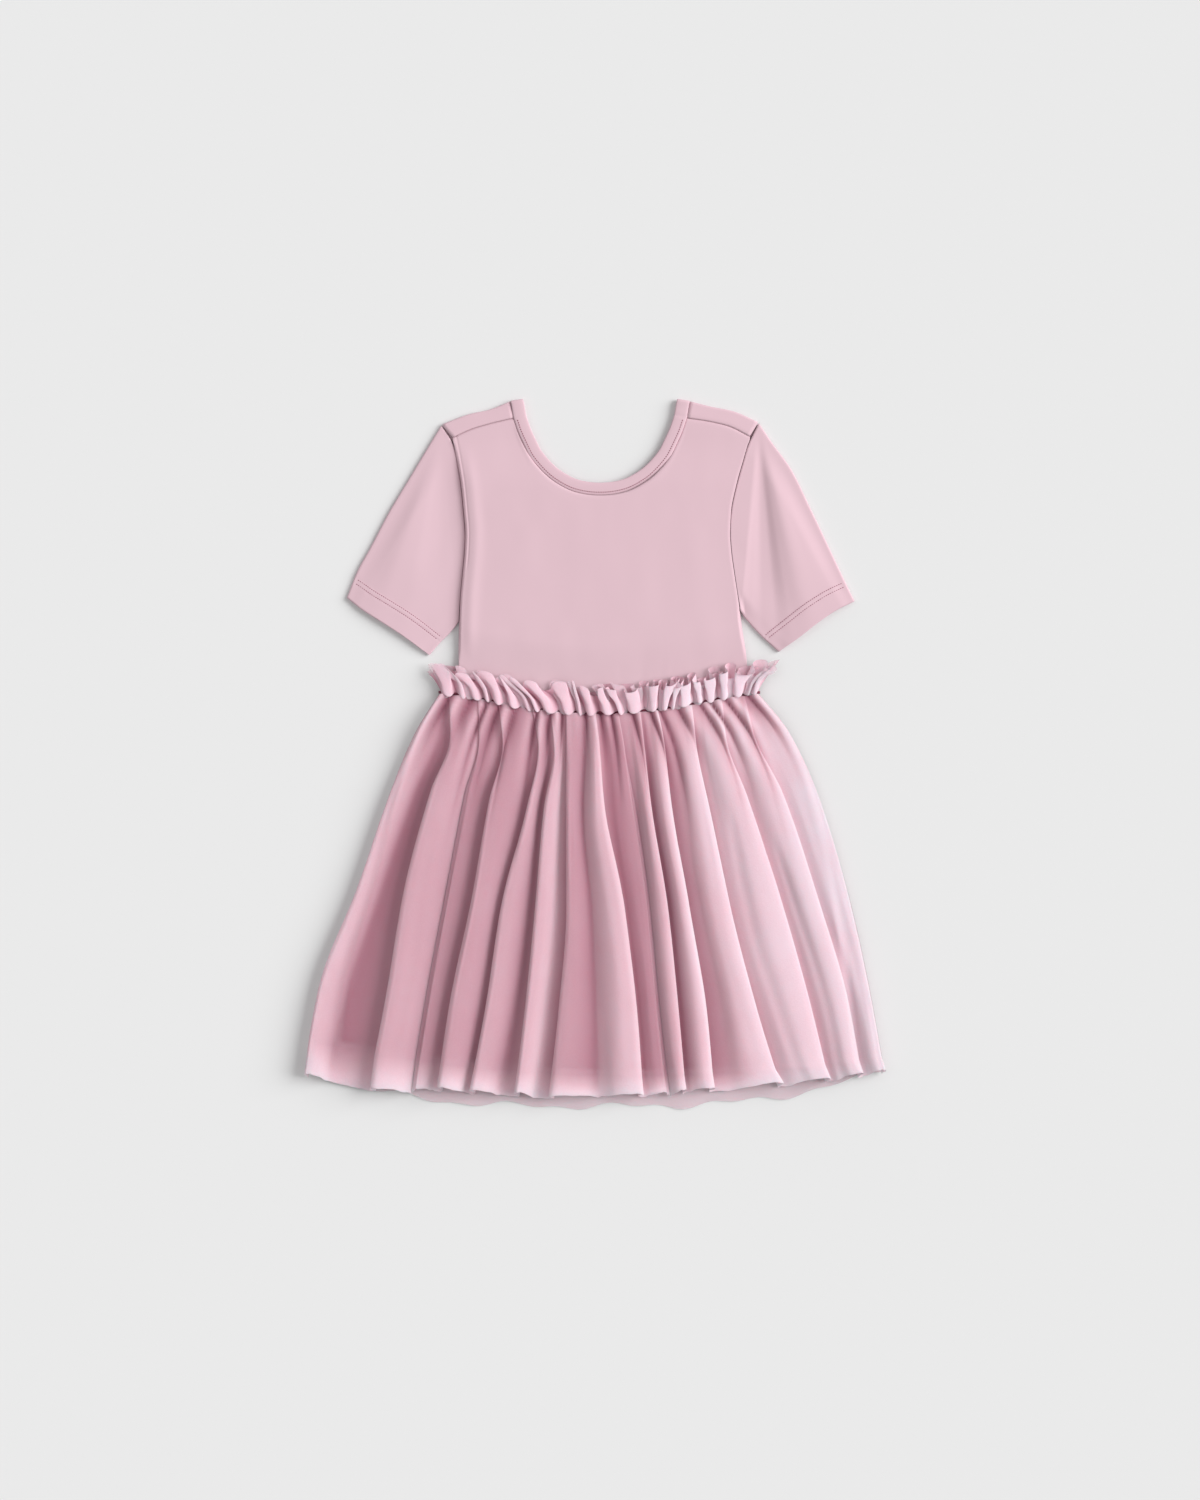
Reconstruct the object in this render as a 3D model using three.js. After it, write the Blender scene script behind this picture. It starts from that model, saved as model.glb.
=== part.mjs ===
// A child's tutu dress, laid flat on its back on a table with its front up.
// Lengths are in millimetres. +X is to the right of someone looking down at the front, +Y is towards the neck,
// and +Z is up from the table. Left and right are those of that onlooker.
// Each cloth piece is a wall round a sheet of points, and each sheet is worked out from the sizes and tables here.

import * as THREE from 'three';

// Where the middle of the finished dress's box lies in the sizes below
const BOX_MIDDLE_X = 1.0;
const BOX_MIDDLE_Y = 1.7;

// Cloth and seams
const JERSEY = 1.2;
const TULLE = 1.0;
const BAND = 2.0;
const SEAM_GAP = 0.3;

// Heights of the middle of each layer above the table, where the skirt's layers lie on each other
const BACK_TULLE_RIPPLE = 1.2;
const BACK_LINING_LEVEL = 3.1;
const FRONT_LINING_LEVEL = 4.6;
const FRONT_TULLE_LEVEL = 6.3;
const FRONT_TULLE_LOW_LEVEL = 3.2;

// Heights on the bodice
const BACK_BODICE_LEVEL = JERSEY / 2;
const SIDE_EDGE_LEVEL = 2.1;
const SHOULDER_LEVEL = 4.2;
const BODICE_PUFF = 0.6;
const WAIST_STACK_NEAR = 26;
const WAIST_STACK_FAR = 62;

// The waist seam is a shallow bow that hangs lowest at the middle and levels off at the sides
const WAIST_MIDDLE_X = 6;
const WAIST_LOW_Y = 39;
const WAIST_BOW = 20;
const WAIST_HALF = 130;

// The neck opening and its band
const NECK_MIDDLE_X = 5.5;
const NECK_TOP_Y = 318.6;
const NECK_BAND_WIDTH = 11.2;
const BACK_NECK_DEEPER = 1.06;

// The gathered heading that stands above the waist seam
const RUFFLE_HEIGHT = 21;
const RUFFLE_WAVES = 23;
const RUFFLE_CREST = 6.5;
const RUFFLE_LIFT = 2.5;
const RUFFLE_END_LEFT = -138;
const RUFFLE_END_RIGHT = 147.5;
// How far the heading leans to the right as it rises, as a share of its height
const RUFFLE_LEAN = [
  { x: RUFFLE_END_LEFT, lean: -0.45 },
  { x: -60, lean: -0.5 },
  { x: 0, lean: -0.35 },
  { x: 40, lean: 0 },
  { x: 120, lean: 0.12 },
  { x: RUFFLE_END_RIGHT, lean: 0.6 },
];
// The crests of its waves stand up, so seen from above they are shorter than the hollows between them
const RUFFLE_CREST_SHORTER = 0.25;
const BACK_RUFFLE_WAVES = 14;
const GATHER_WIDTH = 2.4;
const GATHER_GAP = 0.5;

// The outline of the bodice below the shoulders, a row for each level
const BODICE_SECTIONS = [
  { y: 286, left: -127, right: 140 },
  { y: 266, left: -123, right: 134 },
  { y: 245, left: -119.5, right: 128 },
  { y: 220, left: -117, right: 123 },
  { y: 200, left: -115.5, right: 122 },
  { y: 185, left: -116, right: 123 },
  { y: 163, left: -118, right: 126 },
  { y: 140, left: -120, right: 129.5 },
  { y: 113, left: -121, right: 133 },
  { y: 88, left: -121.5, right: 137 },
  { y: 57, left: -122, right: 139 },
];

// Half of the neck seam: how far it lies from the middle, and how far it has dropped below the shoulder fold
const NECK_SECTIONS = [
  { across: 80.5, drop: 0 },
  { across: 78, drop: 15 },
  { across: 73.5, drop: 28 },
  { across: 69, drop: 38 },
  { across: 63.5, drop: 49 },
  { across: 54.5, drop: 60.5 },
  { across: 45, drop: 69.5 },
  { across: 36, drop: 75.5 },
  { across: 27, drop: 80 },
  { across: 14, drop: 83.5 },
  { across: 0, drop: 84.6 },
];
const NECK_ROW_AT_SHOULDER_SEAM = 1;

// The fold at the top of each shoulder and the seam that lies in front of it, from armhole to neck
const LEFT_SHOULDER = [
  { foldX: -136, foldY: 298, seamX: -127, seamY: 286 },
  { foldX: -112, foldY: 307, seamX: -112, seamY: 293 },
  { foldX: -94, foldY: 311, seamX: -94, seamY: 298.5 },
  { foldX: -75, foldY: 318.6, seamX: -72.5, seamY: 303.6 },
];
const RIGHT_SHOULDER = [
  { foldX: 147, foldY: 300, seamX: 140, seamY: 287 },
  { foldX: 127, foldY: 309, seamX: 122, seamY: 296 },
  { foldX: 104, foldY: 314, seamX: 104, seamY: 300.5 },
  { foldX: 86, foldY: 318.6, seamX: 83.5, seamY: 303.6 },
];

// Each sleeve's outline: its outer fold from shoulder to cuff, its cuff from outer to inner corner, and its
// underarm fold from cuff to body. `rise` is how far its upper layer stands over the folds, from the outer fold
// to the underarm, with a ridge and a hollow.
const LEFT_SLEEVE = {
  outer: [[-137, 297], [-148, 279], [-166, 249], [-184, 219], [-202, 185], [-211, 169], [-222, 142]],
  cuff: [[-222, 142], [-208, 131], [-193, 121.5], [-175, 110], [-148.5, 91]],
  inner: [[-121.8, 121], [-130, 111], [-139, 102], [-148.5, 91]],
  rise: [
    { across: 0, up: 0 }, { across: 0.1, up: 2.4 }, { across: 0.27, up: 5.2 }, { across: 0.45, up: 4.2 },
    { across: 0.66, up: 1.9 }, { across: 0.84, up: 2.4 }, { across: 1, up: 0 },
  ],
};
const RIGHT_SLEEVE = {
  outer: [[148, 299], [158, 284], [176, 259], [194, 223], [212, 185], [230, 147], [234, 139]],
  cuff: [[234, 139], [218, 131], [203, 121], [185, 107], [166.5, 94]],
  inner: [[131.9, 130], [140, 120], [149, 110], [166.5, 94]],
  rise: [
    { across: 0, up: 0 }, { across: 0.08, up: 1.8 }, { across: 0.24, up: 3.6 }, { across: 0.42, up: 5.2 },
    { across: 0.56, up: 3.6 }, { across: 0.7, up: 1.4 }, { across: 0.86, up: 2 }, { across: 1, up: 0 },
  ],
};
const SLEEVE_FOLD_RADIUS = 1.6;
// The sleeve lies flatter where it is sewn in and at its hem than between them
const SLEEVE_RISE_AT_ARMHOLE = 0.5;
const SLEEVE_RISE_AT_HEM = 0.6;

// How far down the skirt each column of the fold table lies, from 0 at the waist to 1 at the hem
const STATIONS = [
  { name: 'waist', down: 0 },
  { name: 'gathers', down: 0.1 },
  { name: 'hip', down: 0.25 },
  { name: 'middle', down: 0.51 },
  { name: 'low', down: 0.77 },
  { name: 'hem', down: 1 },
];

// The folds of the front tulle, left to right: x of each fold's left side at the stations, its height at the
// middle, the y of its hem, how far its edge overhangs the valley, and what share of it is open valley at the
// gathers, the middle and the hem. The last row is the right side of the skirt.
const FOLDS = [
  { fold: 'a', waist: -140, gathers: -161, hip: -182.5, middle: -213, low: -246, hem: -260,
    height: 9, hemY: -284, under: 2, openTop: 0.2, openMiddle: 0.4, openHem: 0.6 },
  { fold: 'b', waist: -130, gathers: -129, hip: -147, middle: -171, low: -186, hem: -201,
    height: 13, hemY: -297, under: 3, openTop: 0.05, openMiddle: 0.05, openHem: 0.05 },
  { fold: 'b2', waist: -104, gathers: -103, hip: -114, middle: -131, low: -148, hem: -161,
    height: 5, hemY: -299, under: -2, openTop: 0.3, openMiddle: 0.1, openHem: 0.1 },
  { fold: 'c', waist: -86, gathers: -82, hip: -94, middle: -110, low: -129, hem: -141,
    height: 14, hemY: -296, under: 3, openTop: 0.08, openMiddle: 0.03, openHem: 0.05 },
  { fold: 'd', waist: -55, gathers: -50, hip: -60, middle: -83, low: -97, hem: -112,
    height: 11, hemY: -299, under: 3, openTop: 0.3, openMiddle: 0.1, openHem: 0.3 },
  { fold: 'e', waist: -39, gathers: -36, hip: -45, middle: -53, low: -62, hem: -72,
    height: 11, hemY: -301, under: 3, openTop: 0.06, openMiddle: 0.35, openHem: 0.35 },
  { fold: 'f', waist: -25, gathers: -25, hip: -25, middle: -25, low: -32, hem: -41,
    height: 13, hemY: -304, under: 3, openTop: 0.06, openMiddle: 0.05, openHem: 0.05 },
  { fold: 'g', waist: -8, gathers: -7, hip: -9, middle: -1, low: 3, hem: 5,
    height: 12, hemY: -302, under: 3, openTop: 0.4, openMiddle: 0.03, openHem: 0.03 },
  { fold: 'h', waist: 8, gathers: 13.5, hip: 16, middle: 29, low: 40, hem: 46,
    height: 5, hemY: -302, under: -2, openTop: 0.3, openMiddle: 0.1, openHem: 0.1 },
  { fold: 'i', waist: 28, gathers: 34, hip: 40, middle: 50, low: 58.5, hem: 68,
    height: 9, hemY: -302, under: 2, openTop: 0.1, openMiddle: 0.05, openHem: 0.05 },
  { fold: 'j', waist: 43, gathers: 47, hip: 53, middle: 67.5, low: 77, hem: 84,
    height: 9.5, hemY: -298, under: 3, openTop: 0.4, openMiddle: 0.15, openHem: 0.35 },
  { fold: 'k', waist: 67, gathers: 75, hip: 79, middle: 93, low: 112, hem: 122,
    height: 9.5, hemY: -296, under: 3, openTop: 0.2, openMiddle: 0.04, openHem: 0.05 },
  { fold: 'l', waist: 93, gathers: 96, hip: 106, middle: 123, low: 147, hem: 173,
    height: 11, hemY: -292, under: 3, openTop: 0.1, openMiddle: 0.05, openHem: 0.05 },
  { fold: 'm', waist: 117, gathers: 121, hip: 140, middle: 170, low: 196, hem: 215,
    height: 10, hemY: -288, under: 3, openTop: 0.1, openMiddle: 0.06, openHem: 0.1 },
  { fold: 'n', waist: 137, gathers: 146, hip: 172, middle: 202.5, low: 230, hem: 245,
    height: 7, hemY: -283, under: 2, openTop: 0.05, openMiddle: 0.05, openHem: 0.05 },
  { fold: 'side', waist: 149, gathers: 177, hip: 202, middle: 229.5, low: 249, hem: 263,
    height: 7, hemY: -281, under: 2, openTop: 0, openMiddle: 0, openHem: 0 },
];
const FIRST_FOLD_LEANING_RIGHT = 7;
const FOLD_GROWTH = [
  { down: 0, height: 0.45, lean: 0.35 },
  { down: 0.1, height: 0.75, lean: 0.7 },
  { down: 0.25, height: 1, lean: 1 },
  { down: 0.5, height: 1.15, lean: 1.1 },
  { down: 1, height: 1.35, lean: 1.2 },
];

// One fold across its width. `across` runs from its overhanging edge to its far side, `under` is a share of the
// overhang instead, and `up` is a share of its height.
const FOLD_PROFILE = [
  { across: 0, under: 0.6, up: 0 },
  { across: 0, under: 1, up: 0.13 },
  { across: 0, under: 0.55, up: 0.27 },
  { across: 0, under: 0, up: 0.48 },
  { across: 0.09, under: 0, up: 0.82 },
  { across: 0.32, under: 0, up: 1 },
  { across: 0.58, under: 0, up: 0.82 },
  { across: 0.8, under: 0, up: 0.42 },
  { across: 1, under: 0, up: 0.06 },
];
const FRONT_HEM_VALLEY_DROP = 5;

// The hem of the back tulle, which shows below the front: an arc with small waves
const BACK_HEM_MIDDLE_X = 1;
const BACK_HEM_LOW_Y = -315;
const BACK_HEM_RISE = 34;
const BACK_HEM_HALF = 262;
const BACK_HEM_WAVES = [
  { waves: 5.2, size: 2.2 },
  { waves: 11.4, size: 1.6 },
];
const BACK_TULLE_RIPPLES = 13;
const BACK_TULLE_INSET = 1.5;

// The lining under the tulle
const LINING_HEM_MIDDLE_X = 40;
const LINING_HEM_LOW_Y = -281;
const LINING_HEM_RISE = 25;
const LINING_HEM_HALF = 265;
const LINING_TOP_GAP = 0.45;
const LINING_INSET_TOP = 8;
const LINING_INSET_HEM = 34;
const SIDE_CLEARANCE = 4;
const SIDE_SLOPE = 8;
const HEM_CLEARANCE = 5;
const LINING_HEM_DOWN = 0.93;
const SKIRT_ROWS = [0, 0.06, 0.15, 0.27, 0.41, 0.55, 0.69, 0.83, LINING_HEM_DOWN, 1];

// Colours, as shown
const COLOURS = {
  bodice: '#ddbcc5',
  back: '#d3adb9',
  band: '#e0c0ca',
  sleeve: '#d9b5c0',
  ruffle: '#efc6d3',
  gather: '#6b3142',
  tulle: '#d9a9b8',
  backTulle: '#cf9fae',
  lining: '#c98fa1',
};

const lerp = (from, to, share) => from + (to - from) * share;

function smoothStep(from, to, value) {
  const share = Math.min(1, Math.max(0, (value - from) / (to - from)));
  return share * share * (3 - 2 * share);
}

// A smooth curve through one column of a table, which never swings past its rows
function columnCurve(rows, key, column) {
  const sorted = [...rows].sort((a, b) => a[key] - b[key]);
  const at = sorted.map((row) => row[key]);
  const value = sorted.map((row) => row[column]);
  const rise = at.slice(1).map((x, i) => (value[i + 1] - value[i]) / (x - at[i]));
  const slope = at.map((_, i) => {
    if (i === 0) return rise[0];
    if (i === at.length - 1) return rise[i - 1];
    if (rise[i - 1] * rise[i] <= 0) return 0;
    return (2 * rise[i - 1] * rise[i]) / (rise[i - 1] + rise[i]);
  });
  return (x) => {
    if (x <= at[0]) return value[0];
    if (x >= at[at.length - 1]) return value[at.length - 1];
    const i = at.findIndex((edge) => edge > x) - 1;
    const step = at[i + 1] - at[i];
    const t = (x - at[i]) / step;
    const bend = (1 - t) * (1 - t) * t * slope[i] - (1 - t) * t * t * slope[i + 1];
    return lerp(value[i], value[i + 1], t * t * (3 - 2 * t)) + bend * step;
  };
}

// A smooth path through points on the table, cut into equal lengths
function pathPoints(points, pieces) {
  const curve = new THREE.CatmullRomCurve3(points.map(([x, y]) => new THREE.Vector3(x, y, 0)), false, 'centripetal');
  return curve.getSpacedPoints(pieces);
}

// A sheet on the table between four edges, each a list of points. The lower and upper edges run left to right,
// and the side edges run from the lower edge to the upper one. A side's own curve fades quickly towards the middle.
function sheetBetween(lower, upper, left, right) {
  const last = lower.length - 1;
  const width = lower[last].x - lower[0].x;
  const bendOf = (side, column, row, v) => side[row].clone().sub(lower[column].clone().lerp(upper[column], v));
  return left.map((_, row) => {
    const v = row / (left.length - 1);
    const leftBend = bendOf(left, 0, row, v);
    const rightBend = bendOf(right, last, row, v);
    return lower.map((point, column) => {
      const u = (point.x - lower[0].x) / width;
      const spot = point.clone().lerp(upper[column], v);
      return spot.addScaledVector(leftBend, (1 - u) ** 8).addScaledVector(rightBend, u ** 8);
    });
  });
}

// A closed wall round a sheet of points. `ring` joins the last row to the first, `tube` joins the last column to
// the first, and `keep` says which cells of the sheet are cloth.
function wall(sheet, thickness, { ring = false, tube = false, keep = () => true } = {}) {
  const rowCount = sheet.length;
  const columnCount = sheet[0].length;
  const cellRows = ring ? rowCount : rowCount - 1;
  const cellColumns = tube ? columnCount : columnCount - 1;
  const idOf = (row, column) => (row % rowCount) * columnCount + (column % columnCount);
  const points = sheet.flat();
  const cells = [];
  for (let row = 0; row < cellRows; row += 1) {
    for (let column = 0; column < cellColumns; column += 1) {
      if (!keep(row, column)) continue;
      const corners = [idOf(row, column), idOf(row, column + 1), idOf(row + 1, column + 1), idOf(row + 1, column)];
      cells.push(corners);
    }
  }

  const faceNormals = cells.map(([a, b, c, d]) => {
    const across = points[c].clone().sub(points[a]);
    const along = points[d].clone().sub(points[b]);
    return across.cross(along).normalize();
  });
  const around = points.map(() => []);
  cells.forEach((corners, cell) => corners.forEach((id) => around[id].push(faceNormals[cell])));
  const mostMiter = 1.5;
  const offsets = points.map((_, id) => {
    const normal = around[id].reduce((sum, each) => sum.add(each), new THREE.Vector3()).normalize();
    const agreement = around[id].reduce((sum, each) => sum + each.dot(normal), 0) / Math.max(1, around[id].length);
    const miter = Math.min(mostMiter, 1 / Math.max(0.1, agreement));
    return normal.multiplyScalar((thickness / 2) * miter);
  });

  const placed = new Map();
  const coordinates = [];
  const vertex = (id, side) => {
    const name = id * 2 + (side > 0 ? 0 : 1);
    if (!placed.has(name)) {
      placed.set(name, coordinates.length / 3);
      coordinates.push(...points[id].clone().addScaledVector(offsets[id], side).toArray());
    }
    return placed.get(name);
  };

  const triangles = [];
  const edges = new Set();
  cells.forEach((corners) => corners.forEach((id, i) => edges.add(`${id} ${corners[(i + 1) % 4]}`)));
  for (const corners of cells) {
    const [a, b, c, d] = corners.map((id) => vertex(id, 1));
    triangles.push([a, b, c], [a, c, d]);
    const [e, f, g, h] = corners.map((id) => vertex(id, -1));
    triangles.push([e, g, f], [e, h, g]);
    corners.forEach((from, i) => {
      const to = corners[(i + 1) % 4];
      if (edges.has(`${to} ${from}`)) return;
      triangles.push([vertex(from, 1), vertex(from, -1), vertex(to, -1)]);
      triangles.push([vertex(from, 1), vertex(to, -1), vertex(to, 1)]);
    });
  }

  const corner = (id) => new THREE.Vector3().fromArray(coordinates, id * 3);
  const volume = triangles.reduce((sum, [a, b, c]) => sum + corner(a).dot(corner(b).cross(corner(c))), 0);
  const outward = volume > 0 ? triangles : triangles.map(([a, b, c]) => [a, c, b]);
  const geometry = new THREE.BufferGeometry();
  geometry.setAttribute('position', new THREE.Float32BufferAttribute(coordinates, 3));
  geometry.setIndex(outward.flat());
  geometry.computeVertexNormals();
  return geometry;
}

function node(name, geometry, colour, roughness) {
  const material = new THREE.MeshStandardMaterial({ color: colour, roughness, metalness: 0 });
  const mesh = new THREE.Mesh(geometry, material);
  mesh.name = name;
  return mesh;
}

// Shape of the bodice

const bodiceLeft = columnCurve(BODICE_SECTIONS, 'y', 'left');
const bodiceRight = columnCurve(BODICE_SECTIONS, 'y', 'right');

function waistY(x) {
  const share = (x - WAIST_MIDDLE_X) / WAIST_HALF;
  return WAIST_LOW_Y + (WAIST_BOW * share ** 2) / (1 + share ** 8) ** 0.25;
}

// Near the waist the bodice lies over the back of the heading, so both panels rise there
const waistRise = (x, y) => 1 - smoothStep(WAIST_STACK_NEAR, WAIST_STACK_FAR, y - waistY(x));

const backLevel = (x, y) => lerp(BACK_BODICE_LEVEL, BACK_LINING_LEVEL, waistRise(x, y));

function frontLevel(x, y) {
  const fromSide = Math.min(x - bodiceLeft(y), bodiceRight(y) - x);
  const inside = smoothStep(0, 15, fromSide);
  const nearShoulder = smoothStep(248, 284, y);
  const puff = BODICE_PUFF * inside * (1 - nearShoulder);
  const level = lerp(SIDE_EDGE_LEVEL, SHOULDER_LEVEL, Math.max(inside, nearShoulder)) + puff;
  return lerp(level, FRONT_LINING_LEVEL, waistRise(x, y));
}

// Points of the neck seam from the left shoulder to the right one, starting at a row of the neck table
function neckSeam(firstRow, deeper, pieces) {
  const rows = NECK_SECTIONS.slice(firstRow);
  const place = (side) => (row) => [NECK_MIDDLE_X + side * row.across, NECK_TOP_Y - row.drop * deeper];
  const leftHalf = rows.map(place(-1));
  const rightHalf = rows.slice(0, -1).reverse().map(place(1));
  return pathPoints([...leftHalf, ...rightHalf], pieces);
}

function shoulderPath(rows, x, y, pieces) {
  return pathPoints(rows.map((row) => [row[x], row[y]]), pieces);
}

const SHOULDER_COLUMNS = 4;
const NECK_COLUMNS = 18;
const BODICE_ROWS = 11;
const RIGHT_STRAP_COLUMN = SHOULDER_COLUMNS + NECK_COLUMNS;

// The lower edge of a panel, with its columns spread as those of its upper edge
function waistEdge(upper, yShift) {
  const first = upper[0].x;
  const last = upper[upper.length - 1].x;
  const left = bodiceLeft(0);
  const right = bodiceRight(0);
  return upper.map((point) => {
    const x = lerp(left, right, (point.x - first) / (last - first));
    return new THREE.Vector3(x, waistY(x) + yShift, 0);
  });
}

function sideEdge(from, to, sideOf, reach) {
  const points = [];
  for (let row = 0; row <= BODICE_ROWS; row += 1) {
    const y = lerp(from.y, to.y, row / BODICE_ROWS);
    const nearEnd = smoothStep(to.y - reach, to.y, y);
    points.push(new THREE.Vector3(lerp(sideOf(y), to.x, nearEnd), y, 0));
  }
  points[0].copy(from);
  points[BODICE_ROWS].copy(to);
  return points;
}

function bodiceFront() {
  const leftSeam = shoulderPath(LEFT_SHOULDER, 'seamX', 'seamY', SHOULDER_COLUMNS);
  const neck = neckSeam(NECK_ROW_AT_SHOULDER_SEAM, 1, NECK_COLUMNS);
  const rightSeam = shoulderPath(RIGHT_SHOULDER, 'seamX', 'seamY', SHOULDER_COLUMNS).reverse();
  const upper = [...leftSeam, ...neck.slice(1, -1), ...rightSeam];
  const lower = waistEdge(upper, 0);
  const left = sideEdge(lower[0], upper[0], bodiceLeft, 8);
  const right = sideEdge(lower[lower.length - 1], upper[upper.length - 1], bodiceRight, 8);
  const sheet = sheetBetween(lower, upper, left, right);
  sheet.flat().forEach((point) => {
    point.z = frontLevel(point.x, point.y);
  });
  return node('bodice_front', wall(sheet, JERSEY), COLOURS.bodice, 0.85);
}

// The back panel runs up to the shoulder folds, rolls over them, and ends at the shoulder seams in front
function bodiceBack() {
  const leftFold = shoulderPath(LEFT_SHOULDER, 'foldX', 'foldY', SHOULDER_COLUMNS);
  const neck = neckSeam(0, BACK_NECK_DEEPER, NECK_COLUMNS);
  const rightFold = shoulderPath(RIGHT_SHOULDER, 'foldX', 'foldY', SHOULDER_COLUMNS).reverse();
  const fold = [...leftFold, ...neck.slice(1, -1), ...rightFold];
  const lower = waistEdge(fold, 0);
  const left = sideEdge(lower[0], fold[0], bodiceLeft, 20);
  const right = sideEdge(lower[lower.length - 1], fold[fold.length - 1], bodiceRight, 20);
  const sheet = sheetBetween(lower, fold, left, right);
  sheet.flat().forEach((point) => {
    point.z = backLevel(point.x, point.y);
  });

  const leftSeam = shoulderPath(LEFT_SHOULDER, 'seamX', 'seamY', SHOULDER_COLUMNS);
  const rightSeam = shoulderPath(RIGHT_SHOULDER, 'seamX', 'seamY', SHOULDER_COLUMNS).reverse();
  const seam = [...leftSeam, ...neck.slice(1, -1), ...rightSeam];
  const radius = (SHOULDER_LEVEL - BACK_BODICE_LEVEL) / 2;
  for (const turn of [45, 90, 135, 180]) {
    const angle = THREE.MathUtils.degToRad(turn);
    const lift = radius * (1 - Math.cos(angle));
    sheet.push(fold.map((point) => new THREE.Vector3(
      point.x, point.y - radius + radius * Math.sin(angle), BACK_BODICE_LEVEL + lift)));
  }
  for (const share of [0.5, 1]) {
    sheet.push(fold.map((point, column) => new THREE.Vector3(
      lerp(point.x, seam[column].x, share),
      lerp(point.y - radius, seam[column].y + SEAM_GAP, share),
      SHOULDER_LEVEL)));
  }
  sheet[BODICE_ROWS].forEach((point, column) => {
    if (column <= SHOULDER_COLUMNS || column >= RIGHT_STRAP_COLUMN) point.y -= radius;
  });
  const isStrap = (column) => column < SHOULDER_COLUMNS || column >= RIGHT_STRAP_COLUMN;
  const keep = (row, column) => row < BODICE_ROWS || isStrap(column);
  return node('bodice_back', wall(sheet, JERSEY, { keep }), COLOURS.back, 0.85);
}

// The band runs once round the neck: along the front, over the right shoulder, along the back, and over the left
function neckBand() {
  const backBandLevel = BAND / 2;
  const radius = (SHOULDER_LEVEL - backBandLevel) / 2;
  const bandShares = [0, 0.5, 1];
  const crown = 0.25;

  const acrossBand = (path, place, levelOf) => path.map((point, i) => {
    const before = path[Math.max(0, i - 1)];
    const after = path[Math.min(path.length - 1, i + 1)];
    const inward = new THREE.Vector3(before.y - after.y, after.x - before.x, 0).normalize();
    return bandShares.map((share) => {
      const spot = point.clone().addScaledVector(inward, SEAM_GAP + share * NECK_BAND_WIDTH);
      spot.z = levelOf(spot) + place * crown * (1 - (2 * share - 1) ** 2);
      return spot;
    });
  });

  const leftFoldEnd = new THREE.Vector3(LEFT_SHOULDER.at(-1).foldX, LEFT_SHOULDER.at(-1).foldY, 0);
  const rightFoldEnd = new THREE.Vector3(RIGHT_SHOULDER.at(-1).foldX, RIGHT_SHOULDER.at(-1).foldY, 0);
  const frontSeam = [leftFoldEnd, ...neckSeam(NECK_ROW_AT_SHOULDER_SEAM, 1, NECK_COLUMNS), rightFoldEnd];
  const front = acrossBand(frontSeam, 1, () => SHOULDER_LEVEL);
  const back = acrossBand(neckSeam(0, BACK_NECK_DEEPER, NECK_COLUMNS), 0, () => backBandLevel).reverse();
  const lowerEnds = (row) => row.forEach((point) => {
    point.y -= radius;
  });
  [front[0], front.at(-1), back[0], back.at(-1)].forEach(lowerEnds);
  const roll = (from, to, turns) => turns.map((turn) => {
    const angle = THREE.MathUtils.degToRad(turn);
    return from.map((point, i) => new THREE.Vector3(
      lerp(point.x, to[i].x, turn / 180),
      lerp(point.y, to[i].y, turn / 180) + radius * Math.sin(angle),
      lerp(point.z, to[i].z, (1 - Math.cos(angle)) / 2)));
  });
  const overRight = roll(front.at(-1), back[0], [36, 72, 108, 144]);
  const overLeft = roll(back.at(-1), front[0], [36, 72, 108, 144]);
  const sheet = [...front, ...overRight, ...back, ...overLeft];
  return node('neckband', wall(sheet, BAND, { ring: true }), COLOURS.band, 0.8);
}

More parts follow.
